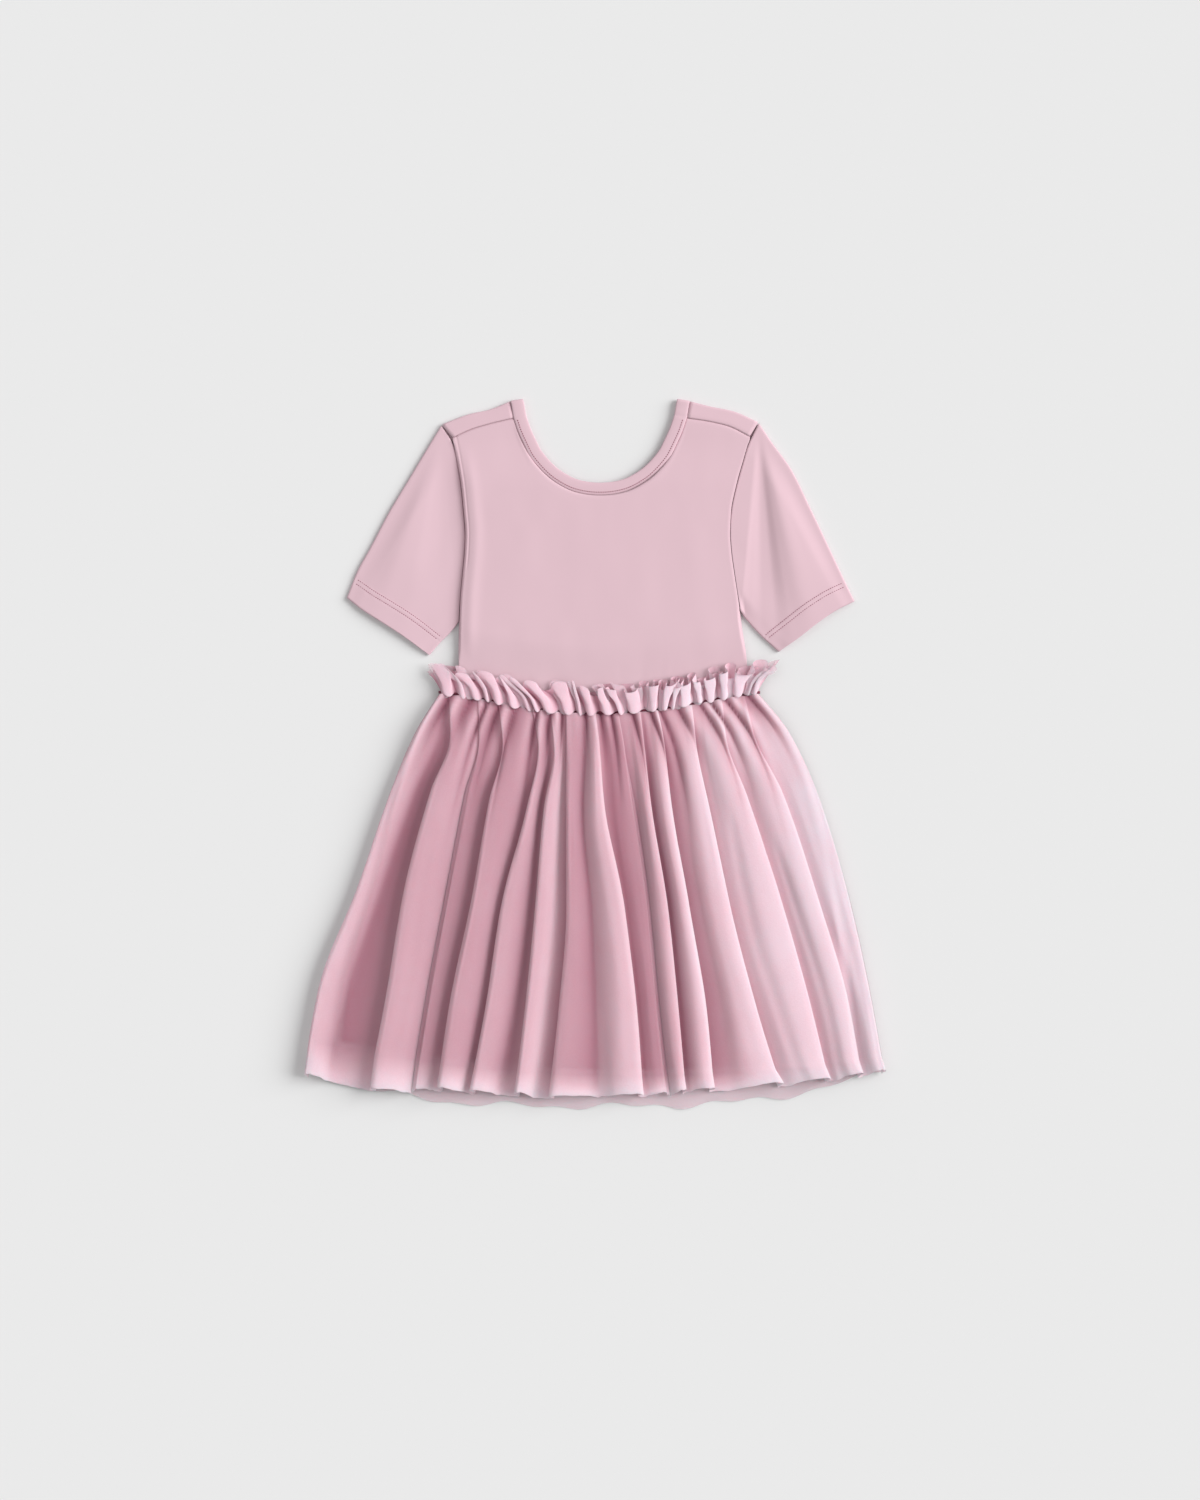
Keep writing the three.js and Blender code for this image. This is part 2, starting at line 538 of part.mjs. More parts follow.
// A sleeve is a flattened tube: a flat lower layer, a fold on each side, and an upper layer with soft ridges.
// `side` is -1 for the left sleeve and 1 for the right one.
function sleeve(name, shape, side) {
  const lengthPieces = 9;
  const sideOf = side < 0 ? bodiceLeft : bodiceRight;
  const clearOfBody = 0.8 + SEAM_GAP;
  const top = shape.outer[0];
  const underarm = shape.inner[0];
  const besideBody = [278, 266, 245, 220, 200, 185, 163, 145].map((y) => [sideOf(y) + side * clearOfBody, y]);
  const armhole = (pieces) => pathPoints([top, ...besideBody, underarm], pieces);
  const cuff = (pieces) => pathPoints(shape.cuff, pieces);
  const outer = pathPoints(shape.outer, lengthPieces);
  const inner = pathPoints(shape.inner, lengthPieces);

  const acrossPieces = 12;
  const armholeEdge = armhole(acrossPieces);
  const cuffEdge = cuff(acrossPieces);
  const place = (length, across) => {
    const edgeAt = (edge, share) => {
      const spot = Math.min(acrossPieces - 1e-9, Math.max(0, share * acrossPieces));
      const i = Math.floor(spot);
      return edge[i].clone().lerp(edge[i + 1], spot - i);
    };
    const v = length / lengthPieces;
    const start = edgeAt(armholeEdge, across);
    const end = edgeAt(cuffEdge, across);
    const sides = outer[length].clone().lerp(inner[length], across);
    const startSides = armholeEdge[0].clone().lerp(armholeEdge[acrossPieces], across);
    const endSides = cuffEdge[0].clone().lerp(cuffEdge[acrossPieces], across);
    return start.lerp(end, v).add(sides).sub(startSides.lerp(endSides, v));
  };

  const lowerSteps = 5;
  const upperSteps = 10;
  const turns = [45, 90, 135];
  const riseAt = columnCurve(shape.rise, 'across', 'up');
  const sheet = [];
  for (let length = 0; length <= lengthPieces; length += 1) {
    const width = place(length, 0).distanceTo(place(length, 1));
    const foldShare = SLEEVE_FOLD_RADIUS / width;
    const v = length / lengthPieces;
    const fromArmhole = lerp(SLEEVE_RISE_AT_ARMHOLE, 1, smoothStep(0, 0.3, v));
    const fullness = Math.min(fromArmhole, lerp(1, SLEEVE_RISE_AT_HEM, smoothStep(0.5, 1, v)));
    const ring = [];
    const add = (across, up) => {
      const point = place(length, across);
      point.z = JERSEY / 2 + up;
      ring.push(point);
    };
    for (let i = 0; i <= lowerSteps; i += 1) add(lerp(foldShare, 1 - foldShare, i / lowerSteps), 0);
    for (const turn of turns) {
      const angle = THREE.MathUtils.degToRad(turn);
      add(1 - foldShare + foldShare * Math.sin(angle), SLEEVE_FOLD_RADIUS * (1 - Math.cos(angle)));
    }
    for (let i = 0; i <= upperSteps; i += 1) {
      const across = lerp(1 - foldShare, foldShare, i / upperSteps);
      add(across, 2 * SLEEVE_FOLD_RADIUS + riseAt(across) * fullness);
    }
    for (const turn of turns) {
      const angle = THREE.MathUtils.degToRad(turn);
      add(foldShare - foldShare * Math.sin(angle), SLEEVE_FOLD_RADIUS * (1 + Math.cos(angle)));
    }
    sheet.push(ring);
  }
  return node(name, wall(sheet, JERSEY, { tube: true }), COLOURS.sleeve, 0.85);
}

// The heading above the waist seam, a row of waves that widen towards their free edge
function ruffleFront() {
  const stepsPerWave = 6;
  const columns = RUFFLE_WAVES * stepsPerWave;
  const levels = [0, 0.25, 0.6, 1];
  const leanAt = columnCurve(RUFFLE_LEAN, 'x', 'lean');
  const sheet = levels.map((share) => {
    const row = [];
    for (let column = 0; column <= columns; column += 1) {
      const wave = column / stepsPerWave;
      const phase = 2 * Math.PI * wave;
      const along = column / columns;
      const flank = 0.055 * Math.sin(2 * phase) / RUFFLE_WAVES;
      const rootX = lerp(RUFFLE_END_LEFT, RUFFLE_END_RIGHT, along + flank);
      const up = (1 - Math.cos(phase)) / 2;
      const tall = (RUFFLE_HEIGHT + 2.5 * Math.sin(phase * 0.31)) * (1 - RUFFLE_CREST_SHORTER * up * share);
      const uneven = 1.5 * Math.sin(9.2 * Math.PI * along) * share;
      const crest = RUFFLE_CREST * (0.8 + 0.2 * Math.sin(1.7 * wave)) * lerp(0.4, 1, smoothStep(-0.1, 0.5, share));
      const x = rootX + leanAt(rootX) * tall * share + uneven;
      const y = waistY(rootX) + GATHER_WIDTH / 2 + GATHER_GAP + tall * share;
      const z = FRONT_TULLE_LEVEL + RUFFLE_LIFT * share * share + crest * up;
      row.push(new THREE.Vector3(x, y, z));
    }
    return row;
  });
  return node('ruffle_front', wall(sheet, TULLE), COLOURS.ruffle, 0.7);
}

function ruffleBack() {
  const stepsPerWave = 5;
  const columns = BACK_RUFFLE_WAVES * stepsPerWave;
  const sheet = [0, 1].map((share) => {
    const row = [];
    for (let column = 0; column <= columns; column += 1) {
      const along = column / columns;
      const x = lerp(-138, 147.5, along) + lerp(0, 5, share) * (2 * along - 1);
      const wave = Math.sin(Math.PI * along * BACK_RUFFLE_WAVES);
      const y = waistY(x) + GATHER_WIDTH / 2 + GATHER_GAP + (RUFFLE_HEIGHT - 2) * share;
      row.push(new THREE.Vector3(x, y, TULLE / 2 + BACK_TULLE_RIPPLE * 0.8 * wave * wave));
    }
    return row;
  });
  return node('ruffle_back', wall(sheet, TULLE), COLOURS.ruffle, 0.7);
}

// The gathering elastic runs once round the waist, over the front layers and under the back ones
function waistGather() {
  const left = -137;
  const right = 146.5;
  const pieces = 18;
  const high = FRONT_TULLE_LEVEL - 0.1;
  const low = TULLE / 2;
  const radius = (high - low) / 2;
  const crossing = (x, z) => [0.5, -0.5].map((share) => new THREE.Vector3(x, waistY(x) + share * GATHER_WIDTH, z));
  const sheet = [];
  for (let i = 0; i <= pieces; i += 1) sheet.push(crossing(lerp(left, right, i / pieces), high));
  for (const turn of [36, 72, 108, 144]) {
    const angle = THREE.MathUtils.degToRad(turn);
    sheet.push(crossing(right + radius * Math.sin(angle), lerp(high, low, (1 - Math.cos(angle)) / 2)));
  }
  for (let i = pieces; i >= 0; i -= 1) sheet.push(crossing(lerp(left, right, i / pieces), low));
  for (const turn of [144, 108, 72, 36]) {
    const angle = THREE.MathUtils.degToRad(turn);
    sheet.push(crossing(left - radius * Math.sin(angle), lerp(high, low, (1 - Math.cos(angle)) / 2)));
  }
  return node('waist_gather', wall(sheet, TULLE, { ring: true }), COLOURS.gather, 0.8);
}

// Shape of the skirt

const stationRows = FOLDS.map((fold) => STATIONS.map(({ name, down }) => ({ down, x: fold[name] })));
const foldSide = stationRows.map((rows) => columnCurve(rows, 'down', 'x'));
const growHeight = columnCurve(FOLD_GROWTH, 'down', 'height');
const growLean = columnCurve(FOLD_GROWTH, 'down', 'lean');
const foldOpen = FOLDS.map((fold) => columnCurve([
  { down: 0.1, open: fold.openTop },
  { down: 0.5, open: fold.openMiddle },
  { down: 1, open: fold.openHem },
], 'down', 'open'));

const silhouetteLeft = foldSide[0];
const silhouetteRight = foldSide[FOLDS.length - 1];

const skirtTopY = (x) => waistY(x) - GATHER_WIDTH / 2 - GATHER_GAP;
const liningHemY = (x) => LINING_HEM_LOW_Y + LINING_HEM_RISE * ((x - LINING_HEM_MIDDLE_X) / LINING_HEM_HALF) ** 2;

function backHemY(x) {
  const share = (x - BACK_HEM_MIDDLE_X) / BACK_HEM_HALF;
  const arc = BACK_HEM_LOW_Y + BACK_HEM_RISE * Math.abs(share) ** 3;
  return BACK_HEM_WAVES.reduce((y, { waves, size }) => y + size * Math.sin(Math.PI * waves * share), arc);
}

// The front tulle lies on the lining, and beyond the lining's edges it sinks on to the back tulle
const pastLiningHem = (down) => Math.max(0, (down - LINING_HEM_DOWN) / (1 - LINING_HEM_DOWN));

function tulleBase(x, down) {
  const inset = lerp(LINING_INSET_TOP, LINING_INSET_HEM, down);
  const pastLeft = silhouetteLeft(down) + inset - x;
  const pastRight = x - (silhouetteRight(down) - inset);
  const pastSide = smoothStep(SIDE_CLEARANCE, SIDE_CLEARANCE + SIDE_SLOPE, Math.max(pastLeft, pastRight));
  const pastHem = pastLiningHem(down);
  return lerp(FRONT_TULLE_LEVEL, FRONT_TULLE_LOW_LEVEL, Math.max(pastSide, pastHem));
}

// How far down the table a point of the front tulle lies: evenly to just past the lining's hem, then to its own
function tulleY(x, hem, down) {
  const liningEnd = liningHemY(x) - HEM_CLEARANCE;
  if (down <= LINING_HEM_DOWN) return lerp(skirtTopY(x), liningEnd, down / LINING_HEM_DOWN);
  return lerp(liningEnd, hem, pastLiningHem(down));
}

// Points of one fold, left to right, as {x, up, hemY, valley}
function foldAcross(index, down) {
  const fold = FOLDS[index];
  const from = foldSide[index](down);
  const to = foldSide[index + 1](down);
  const width = (to - from) * (1 - foldOpen[index](down));
  const height = fold.height * growHeight(down);
  const under = fold.under * growLean(down);
  const leansRight = index >= FIRST_FOLD_LEANING_RIGHT;
  const edge = leansRight ? from + width : from;
  const inwards = leansRight ? -1 : 1;
  const points = FOLD_PROFILE.map((row) => ({
    x: edge + inwards * (row.across * width + row.under * under),
    up: row.up * height,
    valley: 1 - row.up,
  }));
  return leansRight ? points.reverse() : points;
}

function skirtTulleFront() {
  const sheet = SKIRT_ROWS.map((down) => {
    const row = [];
    for (let index = 0; index < FOLDS.length - 1; index += 1) {
      for (const spot of foldAcross(index, down)) {
        const share = (spot.x - foldSide[index](down)) / (foldSide[index + 1](down) - foldSide[index](down));
        const hem = lerp(FOLDS[index].hemY, FOLDS[index + 1].hemY, Math.min(1, Math.max(0, share)));
        const y = tulleY(spot.x, hem - FRONT_HEM_VALLEY_DROP * spot.valley, down);
        row.push(new THREE.Vector3(spot.x, y, tulleBase(spot.x, down) + spot.up));
      }
    }
    return row;
  });
  return node('skirt_tulle_front', wall(sheet, TULLE), COLOURS.tulle, 0.7);
}

// A plain layer of the skirt between the waist and a hem, moved in from the skirt's sides
function skirtLayer({ columns, downs, insetTop, insetHem, topY, hemY, levelOf }) {
  return downs.map((down) => {
    const inset = lerp(insetTop, insetHem, down);
    const row = [];
    for (let column = 0; column <= columns; column += 1) {
      const along = column / columns;
      const x = lerp(silhouetteLeft(down) + inset, silhouetteRight(down) - inset, along);
      row.push(new THREE.Vector3(x, lerp(topY(x), hemY(x), down), levelOf(along, down)));
    }
    return row;
  });
}

function skirtTulleBack() {
  const sheet = skirtLayer({
    columns: BACK_TULLE_RIPPLES * 4,
    downs: [0, 0.1, 0.25, 0.5, 0.75, 1],
    insetTop: BACK_TULLE_INSET,
    insetHem: BACK_TULLE_INSET,
    topY: skirtTopY,
    hemY: backHemY,
    levelOf: (along) => TULLE / 2 + BACK_TULLE_RIPPLE * Math.sin(Math.PI * along * BACK_TULLE_RIPPLES) ** 2,
  });
  return node('skirt_tulle_back', wall(sheet, TULLE), COLOURS.backTulle, 0.7);
}

function lining(name, level) {
  const sheet = skirtLayer({
    columns: 14,
    downs: [0, 0.1, 0.25, 0.5, 0.75, 1],
    insetTop: LINING_INSET_TOP,
    insetHem: LINING_INSET_HEM,
    topY: (x) => waistY(x) - LINING_TOP_GAP,
    hemY: liningHemY,
    levelOf: () => level,
  });
  return node(name, wall(sheet, JERSEY), COLOURS.lining, 0.8);
}

const dress = new THREE.Group();
dress.name = 'tutu_dress';
dress.add(
  bodiceFront(),
  bodiceBack(),
  neckBand(),
  sleeve('sleeve_left', LEFT_SLEEVE, -1),
  sleeve('sleeve_right', RIGHT_SLEEVE, 1),
  ruffleFront(),
  ruffleBack(),
  waistGather(),
  skirtTulleFront(),
  skirtTulleBack(),
  lining('lining_front', FRONT_LINING_LEVEL),
  lining('lining_back', BACK_LINING_LEVEL),
);

// The middle of the dress's box on the table is the origin
dress.children.forEach((piece) => piece.geometry.translate(-BOX_MIDDLE_X, -BOX_MIDDLE_Y, 0));

export default dress;
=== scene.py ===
"""A child's tutu dress laid flat: the cloth, seams, stitches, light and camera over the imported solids."""

import bpy
import numpy as np
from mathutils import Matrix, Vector


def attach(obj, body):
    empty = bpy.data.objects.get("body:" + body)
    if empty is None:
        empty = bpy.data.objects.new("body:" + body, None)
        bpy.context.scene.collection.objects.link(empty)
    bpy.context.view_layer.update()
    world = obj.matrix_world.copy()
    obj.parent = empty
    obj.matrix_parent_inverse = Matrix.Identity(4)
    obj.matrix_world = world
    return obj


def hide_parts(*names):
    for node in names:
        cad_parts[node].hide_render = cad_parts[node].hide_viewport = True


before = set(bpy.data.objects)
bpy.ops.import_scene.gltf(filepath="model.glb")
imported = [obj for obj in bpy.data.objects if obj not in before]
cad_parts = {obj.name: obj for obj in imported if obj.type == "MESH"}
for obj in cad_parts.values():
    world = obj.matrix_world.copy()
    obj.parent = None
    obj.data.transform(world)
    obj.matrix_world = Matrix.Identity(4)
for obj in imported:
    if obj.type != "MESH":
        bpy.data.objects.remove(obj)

bl_info = {
    "name": "Tutu dress, laid flat",
    "version": (1, 0, 0),
    "blender": (4, 5, 0),
    "location": "3D View > Sidebar > Dress",
    "description": "Makes the jersey, tulle and lining of a flat tutu dress, with its stitches and studio",
    "category": "Object",
}


def table(columns, *rows):
    """A table as one array for each of its named columns."""
    return {name: np.array(column, float) for name, column in zip(columns.split(), zip(*rows))}


# Lengths in the tables and shape functions are millimetres, as on the solids, from an origin near the
# middle of the dress. The part's own origin lies at BOX_MIDDLE.
MM = 0.001
BOX_MIDDLE = np.array((1.0, 1.7, 0.0))
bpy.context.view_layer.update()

# Walls of the solids, the gap at their seams, and the levels of the layers above the table
TULLE = 1.0
JERSEY = 1.2
SEAM_GAP = 0.3
BACK_TULLE_RIPPLE = 1.2
BACK_LINING_LEVEL = 3.1
FRONT_LINING_LEVEL = 4.6
FRONT_TULLE_LEVEL = 6.3
FRONT_TULLE_LOW_LEVEL = 3.2
BACK_BODICE_LEVEL = 0.6
SIDE_EDGE_LEVEL = 2.1
SHOULDER_LEVEL = 4.2
SHOULDER_FOLD_LEVEL = 3.4
BODICE_FULLNESS = 5.4
WAIST_STACK_NEAR = 26
WAIST_STACK_FAR = 62

# The waist seam is a shallow bow, lowest at the middle
WAIST_MIDDLE_X = 6
WAIST_LOW_Y = 39
WAIST_BOW = 20
WAIST_HALF = 130
GATHER_GAP = 0.5
HEADING_ENDS = (-138, 147.5)
HEADING_LEAN = table("x lean", (-138, -0.5), (-60, -0.55), (0, -0.4), (40, 0), (120, 0.12), (148, 0.7))
BACK_HEADING_DENSITY = 0.5
BACK_HEADING_COVER = 0.7
ELASTIC_ENDS = (-137, 146.5)
ELASTIC_CROWN = 0.25
ELASTIC_WALL = 0.7

# Layers of the heading in front: the solid each stands for, how much taller and fuller it is than the
# sizes say, its waves, the seed of its unevenness, its height over the tulle, and how much of the net is
# seen
HEADING_LAYERS = (
    ("ruffle_front_cloth", "ruffle_front", 0, 0, 25, 21, -0.6, 1),
    ("ruffle_front_lower_cloth", None, 3, -4.5, 19, 8, -0.9, 0.75),
)

NECK_MIDDLE_X = 5.5
NECK_TOP_Y = 318.6
BACK_NECK_DEEPER = 1.06
BAND_JOINS_Y = (304.2, 311.4)
BAND_CROWN = 0.45
BAND_BACK_LEVEL = 1.0

# The seams of the bodice: how far the panel dips beside a seam, how wide the dip is, and the left
# armhole's ditch with its distance from the body's side
SEAM_DIP = 0.6
SEAM_DIP_WIDTH = 2.5
ARMHOLE_DITCH = 0.4
ARMHOLE_DITCH_INSIDE = 3.4

# The outline of the bodice below the shoulders, a row for each level
BODICE_SECTIONS = table(
    "y left right",
    (286, -127, 140),
    (266, -123, 134),
    (245, -119.5, 128),
    (220, -117, 123),
    (200, -115.5, 122),
    (185, -116, 123),
    (163, -118, 126),
    (140, -120, 129.5),
    (113, -121, 133),
    (88, -121.5, 137),
    (57, -122, 139),
)

# Half of the neck seam: its distance from the middle, and how far it drops below the shoulder fold
NECK_SECTIONS = table(
    "across drop",
    (80.5, 0),
    (78, 15),
    (73.5, 28),
    (69, 38),
    (63.5, 49),
    (54.5, 60.5),
    (45, 69.5),
    (36, 75.5),
    (27, 80),
    (14, 83.5),
    (0, 84.6),
)

# The fold at the top of each shoulder and the seam in front of it, from armhole to neck
LEFT_SHOULDER = table(
    "fold_x fold_y seam_x seam_y",
    (-136, 298, -127, 286),
    (-112, 307, -112, 293),
    (-94, 311, -94, 298.5),
    (-75, 318.6, -72.5, 303.6),
)
RIGHT_SHOULDER = table(
    "fold_x fold_y seam_x seam_y",
    (147, 300, 140, 287),
    (127, 309, 122, 296),
    (104, 314, 104, 300.5),
    (86, 318.6, 83.5, 303.6),
)

# Outline of each sleeve: outer fold from shoulder to cuff, cuff from outer to inner corner, underarm fold
LEFT_SLEEVE = {
    "outer": ((-137, 297), (-148, 279), (-166, 249), (-184, 219), (-202, 185), (-211, 169), (-222, 142)),
    "cuff": ((-222, 142), (-208, 131), (-193, 121.5), (-175, 110), (-148.5, 91)),
    "inner": ((-121.8, 121), (-130, 111), (-139, 102), (-148.5, 91)),
}
RIGHT_SLEEVE = {
    "outer": ((148, 299), (158, 284), (176, 259), (194, 223), (212, 185), (230, 147), (234, 139)),
    "cuff": ((234, 139), (218, 131), (203, 121), (185, 107), (166.5, 94)),
    "inner": ((131.9, 130), (140, 120), (149, 110), (166.5, 94)),
}
SLEEVE_FOLD_RADIUS = 1.1

# Relief of each sleeve's upper layer. It fans out from the shoulder: `fan` runs from the outer fold round
# to the body's side.
LEFT_SLEEVE_RISE = table(
    "fan up", (0, 0.2), (0.12, 1.3), (0.33, 3), (0.5, 2.5), (0.7, 1.2), (0.85, 0.5), (1, 0.2),
)
RIGHT_SLEEVE_RISE = table(
    "fan up", (0, 0.4), (0.1, 1.8), (0.25, 3.4), (0.42, 4.6), (0.56, 3.2), (0.7, 0.5), (0.8, 0.4),
    (0.92, 1.6), (1, 2.8),
)
SLEEVE_FAN_LENGTH = 110
SLEEVE_HEM_STEP = 0.35
SLEEVE_HEM_ENDS = (19, 20.5)
SLEEVE_STITCH_ROWS = (15.6, 19.4)
STITCH_DITCH = 0.25

# How far the sleeves' armholes stay off the body, and the levels at which they follow it
ARMHOLE_GAP = 0.6
ARMHOLE_LEVELS = (278, 266, 245, 220, 200, 185, 163, 145)

# A stitch is a capsule of a few rings: where each lies along it and how wide it is
STITCH_RINGS = table("along size", (-0.5, 0.45), (-0.38, 1), (0.38, 1), (0.5, 0.45))
STITCH_SIDES = 6
STITCH_LENGTH = 1.35
NECK_STITCH_RADIUS = 0.38
SLEEVE_STITCH_RADIUS = 0.36

# Folds of the front tulle, left to right: x of each fold's left side down the skirt, its height, the y of
# its hem, how far its edge overhangs the valley, what share of it is open valley, how many layers its net
# seems to have along its edge and on its far side, with painted light and shade on that (the folds of the
# right half are painted lighter, towards the light, and the far sides and valleys darker, as painted
# shade), and how much of it covers what is below. The last row is the skirt's right side.
STATIONS = {"waist": 0, "gathers": 0.1, "hip": 0.25, "middle": 0.51, "low": 0.77, "hem": 1}
FOLD_COLUMNS = ("waist", "gathers", "hip", "middle", "low", "hem",
                "height", "hem_y", "under", "open_top", "open_middle", "open_hem", "dense", "far_side_density_and_painted_light", "cover")
FOLDS = {
    "a": (-140, -161, -182.5, -213, -246, -260, 9, -284, 2, 0.2, 0.4, 0.6, 1, 0.1, 0.95),
    "b": (-130, -129, -147, -171, -186, -201, 13, -297, 3, 0.05, 0.05, 0.05, 0.7, 0.55, 1),
    "b2": (-104, -103, -114, -131, -148, -161, 5, -299, -2, 0.3, 0.1, 0.1, 0.55, 0.4, 1),
    "c": (-86, -82, -94, -110, -129, -141, 14, -296, 3, 0.08, 0.03, 0.05, 0.68, 0.35, 1),
    "d": (-55, -50, -60, -83, -97, -112, 11, -299, 3, 0.3, 0.1, 0.3, 0.78, 0.25, 1),
    "e": (-39, -36, -45, -53, -62, -72, 11, -301, 3, 0.06, 0.25, 0.35, 0.8, 0.8, 1),
    "f": (-25, -25, -25, -25, -32, -41, 11.5, -304, 3, 0.06, 0.05, 0.05, 0.64, 0.2, 1),
    "g": (-8, -7, -9, -1, 3, 5, 12, -302, 3, 0.4, 0.03, 0.03, 0.9, 0.6, 1),
    "h": (8, 13.5, 16, 29, 40, 46, 5, -302, -2, 0.3, 0.1, 0.1, 0.5, 0.25, 1),
    "i": (28, 34, 40, 50, 58.5, 68, 9, -302, 2, 0.1, 0.05, 0.05, 0.85, 0.5, 1),
    "j": (43, 47, 53, 67.5, 77, 84, 9.5, -298, 3, 0.4, 0.28, 0.35, 1.08, 0.05, 1),
    "k": (67, 75, 79, 93, 112, 122, 9.5, -296, 3, 0.2, 0.04, 0.05, 1.08, 0.45, 1),
    "l": (93, 96, 106, 123, 147, 173, 11, -292, 3, 0.1, 0.05, 0.05, 1.05, 0.82, 1),
    "m": (117, 121, 140, 170, 196, 215, 10, -288, 3, 0.1, 0.06, 0.1, 1.1, 0.85, 1),
    "n": (137, 146, 172, 202.5, 230, 245, 7, -283, 2, 0.05, 0.05, 0.05, 1.2, 0.98, 0.97),
    "side": (149, 177, 202, 229.5, 249, 263, 7, -281, 2, 0, 0, 0, 1.2, 1.2, 0.85),
}
FOLD_NAMES = tuple(FOLDS)
FOLDS_LEANING_LEFT = 7
FOLD_GROWTH = table(
    "down height lean",
    (0, 0.5, 0),
    (0.11, 0.76, 0),
    (0.17, 0.87, 0.4),
    (0.25, 1, 1),
    (0.5, 1.15, 1.1),
    (1, 1.35, 1.2),
)

# One fold across its width, from its overhanging edge to its far side. The net lies in two layers along
# the edge and in one towards the far side, and the last column paints light along the edge and shade
# where the edge tucks under and growing towards the far side.
FOLD_PROFILE = table(
    "across under up dense",
    (0, 1.1, 0, 0.2),
    (0, 1.6, 0.14, 0.45),
    (0, 1.0, 0.4, 0.8),
    (0, 0.1, 0.55, 1),
    (0, -0.05, 0.68, 1),
    (0.02, 0.2, 0.82, 0.97),
    (0.14, 0, 0.97, 0.9),
    (0.38, 0, 0.97, 0.8),
    (0.66, 0, 0.66, 0.58),
    (0.86, 0, 0.28, 0.32),
    (1, 0, 0.02, 0.12),
)
FRONT_HEM_VALLEY_DROP = 5

# Tubes that the gathers make at the waist: their height, their number, the share of it left between them,
# the share of the way down at which they fade, and how far the tulle starts below the seam and rises on
# each tube
GATHER_HEIGHT = 5.5
GATHER_TUBES = 20
GATHER_LOW = 0.15
GATHER_FADE = 0.12
GATHER_TOP_DROP = 3.2
GATHER_TOP_RISE = 2.4

# How much the front net covers where it is thinnest and densest, the painted light that turns it paler
# past the lining's hem, and its loss of cover at the hem
LEAST_COVER = 0.4
MOST_COVER = 0.93
HEM_PAINTED_LIGHT = 1.22
HEM_COVER_LOSS = 0.06

# Pinches and long creases on the folds: the fold, the way through its profile, the shares of the way down
# where the crease starts and ends, its width as a share of a fold, and its depth in millimetres
CREASES = (
    ("a", 0.62, -0.2, 0.2, 0.07, 3),
    ("b", 0.62, -0.2, 0.12, 0.07, 4),
    ("b", 0.66, 0.35, 1.2, 0.05, 0.8),
    ("c", 0.62, -0.2, 0.09, 0.08, 4.5),
    ("c", 0.6, 0.3, 0.8, 0.06, 0.6),
    ("e", 0.6, -0.2, 0.05, 0.08, 3),
    ("f", 0.62, -0.2, 0.06, 0.09, 4),
    ("g", 0.25, -0.2, 0.05, 0.09, 3),
    ("g", 0.35, 0.25, 0.9, 0.06, 0.8),
    ("j", 0.3, -0.2, 0.07, 0.09, 4.5),
    ("k", 0.3, -0.2, 0.07, 0.09, 3.5),
    ("k", 0.35, 0.3, 0.9, 0.05, 0.7),
    ("l", 0.32, -0.2, 0.08, 0.08, 4.5),
    ("l", 0.26, 0.3, 1.2, 0.04, 1.4),
    ("m", 0.36, -0.2, 0.1, 0.08, 3.5),
    ("m", 0.25, 0.4, 1.2, 0.05, 1.5),
    ("n", 0.35, 0.1, 0.8, 0.08, 1),
)

# The back tulle's hem: an arc with two rows of waves, each given by their number across the hem and their
# height. The layer itself ripples and lies just inside the skirt's sides.
BACK_HEM_MIDDLE_X = 1
BACK_HEM_LOW_Y = -315
BACK_HEM_RISE = 34
BACK_HEM_HALF = 262
BACK_HEM_WAVES = ((5.2, 2.2), (11.4, 1.6))
BACK_TULLE_RIPPLES = 13
BACK_TULLE_STEPS = 16
BACK_TULLE_ROWS = 60
BACK_TULLE_INSET = 1.5

# The lining: its hem is a parabola, and its sides lie inside the skirt's, further in at the hem. The
# front tulle rests on it and sinks past its sides and its hem.
LINING_GRID = (120, 40)
LINING_HEM_MIDDLE_X = 40
LINING_HEM_LOW_Y = -281
LINING_HEM_RISE = 25
LINING_HEM_HALF = 265
LINING_TOP_GAP = 0.45
LINING_WALL = 0.8
LINING_INSET_TOP = 8
LINING_INSET_HEM = 34
SIDE_CLEARANCE = 4
SIDE_SLOPE = 8
HEM_CLEARANCE = 5
LINING_HEM_DOWN = 0.93

# The cloths: the names of the lighter and the deeper colour, a share to darken the deeper one by, then
# the roughness, sheen, threads per metre and bump, the share of light that spreads inside, whether the
# piece's own points give the net's layering, with its painted light and shade, and its cover, and how much
# of the cloth is not see-through where they don't. On the nets the deeper colour is painted shade.
CLOTH_COLUMNS = (
    "colour", "deep", "deep_share", "roughness", "sheen", "threads", "bump", "glow", "is_net", "cover")
CLOTHS = {
    "jersey": ("jersey", "jersey_deep", 1, 0.9, 0.35, 1100, 0.35, 0, False, 1),
    "thread": ("stitch", "stitch", 0.8, 0.7, 0.2, 3000, 0.1, 0, False, 1),
    # The elastic's near-black colour is painted shade, the shadow along the waist seam
    "elastic": ("gather", "gather", 1, 0.85, 0.2, 1500, 0.3, 0, False, 1),
    "lining_knit": ("lining", "lining", 0.92, 0.85, 0.2, 1100, 0.3, 0, False, 1),
    # The nets' deeper colours are painted shade, and their points paint light and shade as well
    "heading_net": ("ruffle", "ruffle_painted_shade", 1, 0.7, 0.2, 900, 0.25, 0.5, True, 1),
    "skirt_net": ("tulle", "tulle_painted_shade", 1, 0.75, 0.1, 800, 0.2, 0.68, True, 1),
    "skirt_back_net": ("tulle", "tulle", 1, 0.75, 0.2, 800, 0.2, 0.6, False, 0.55),
}

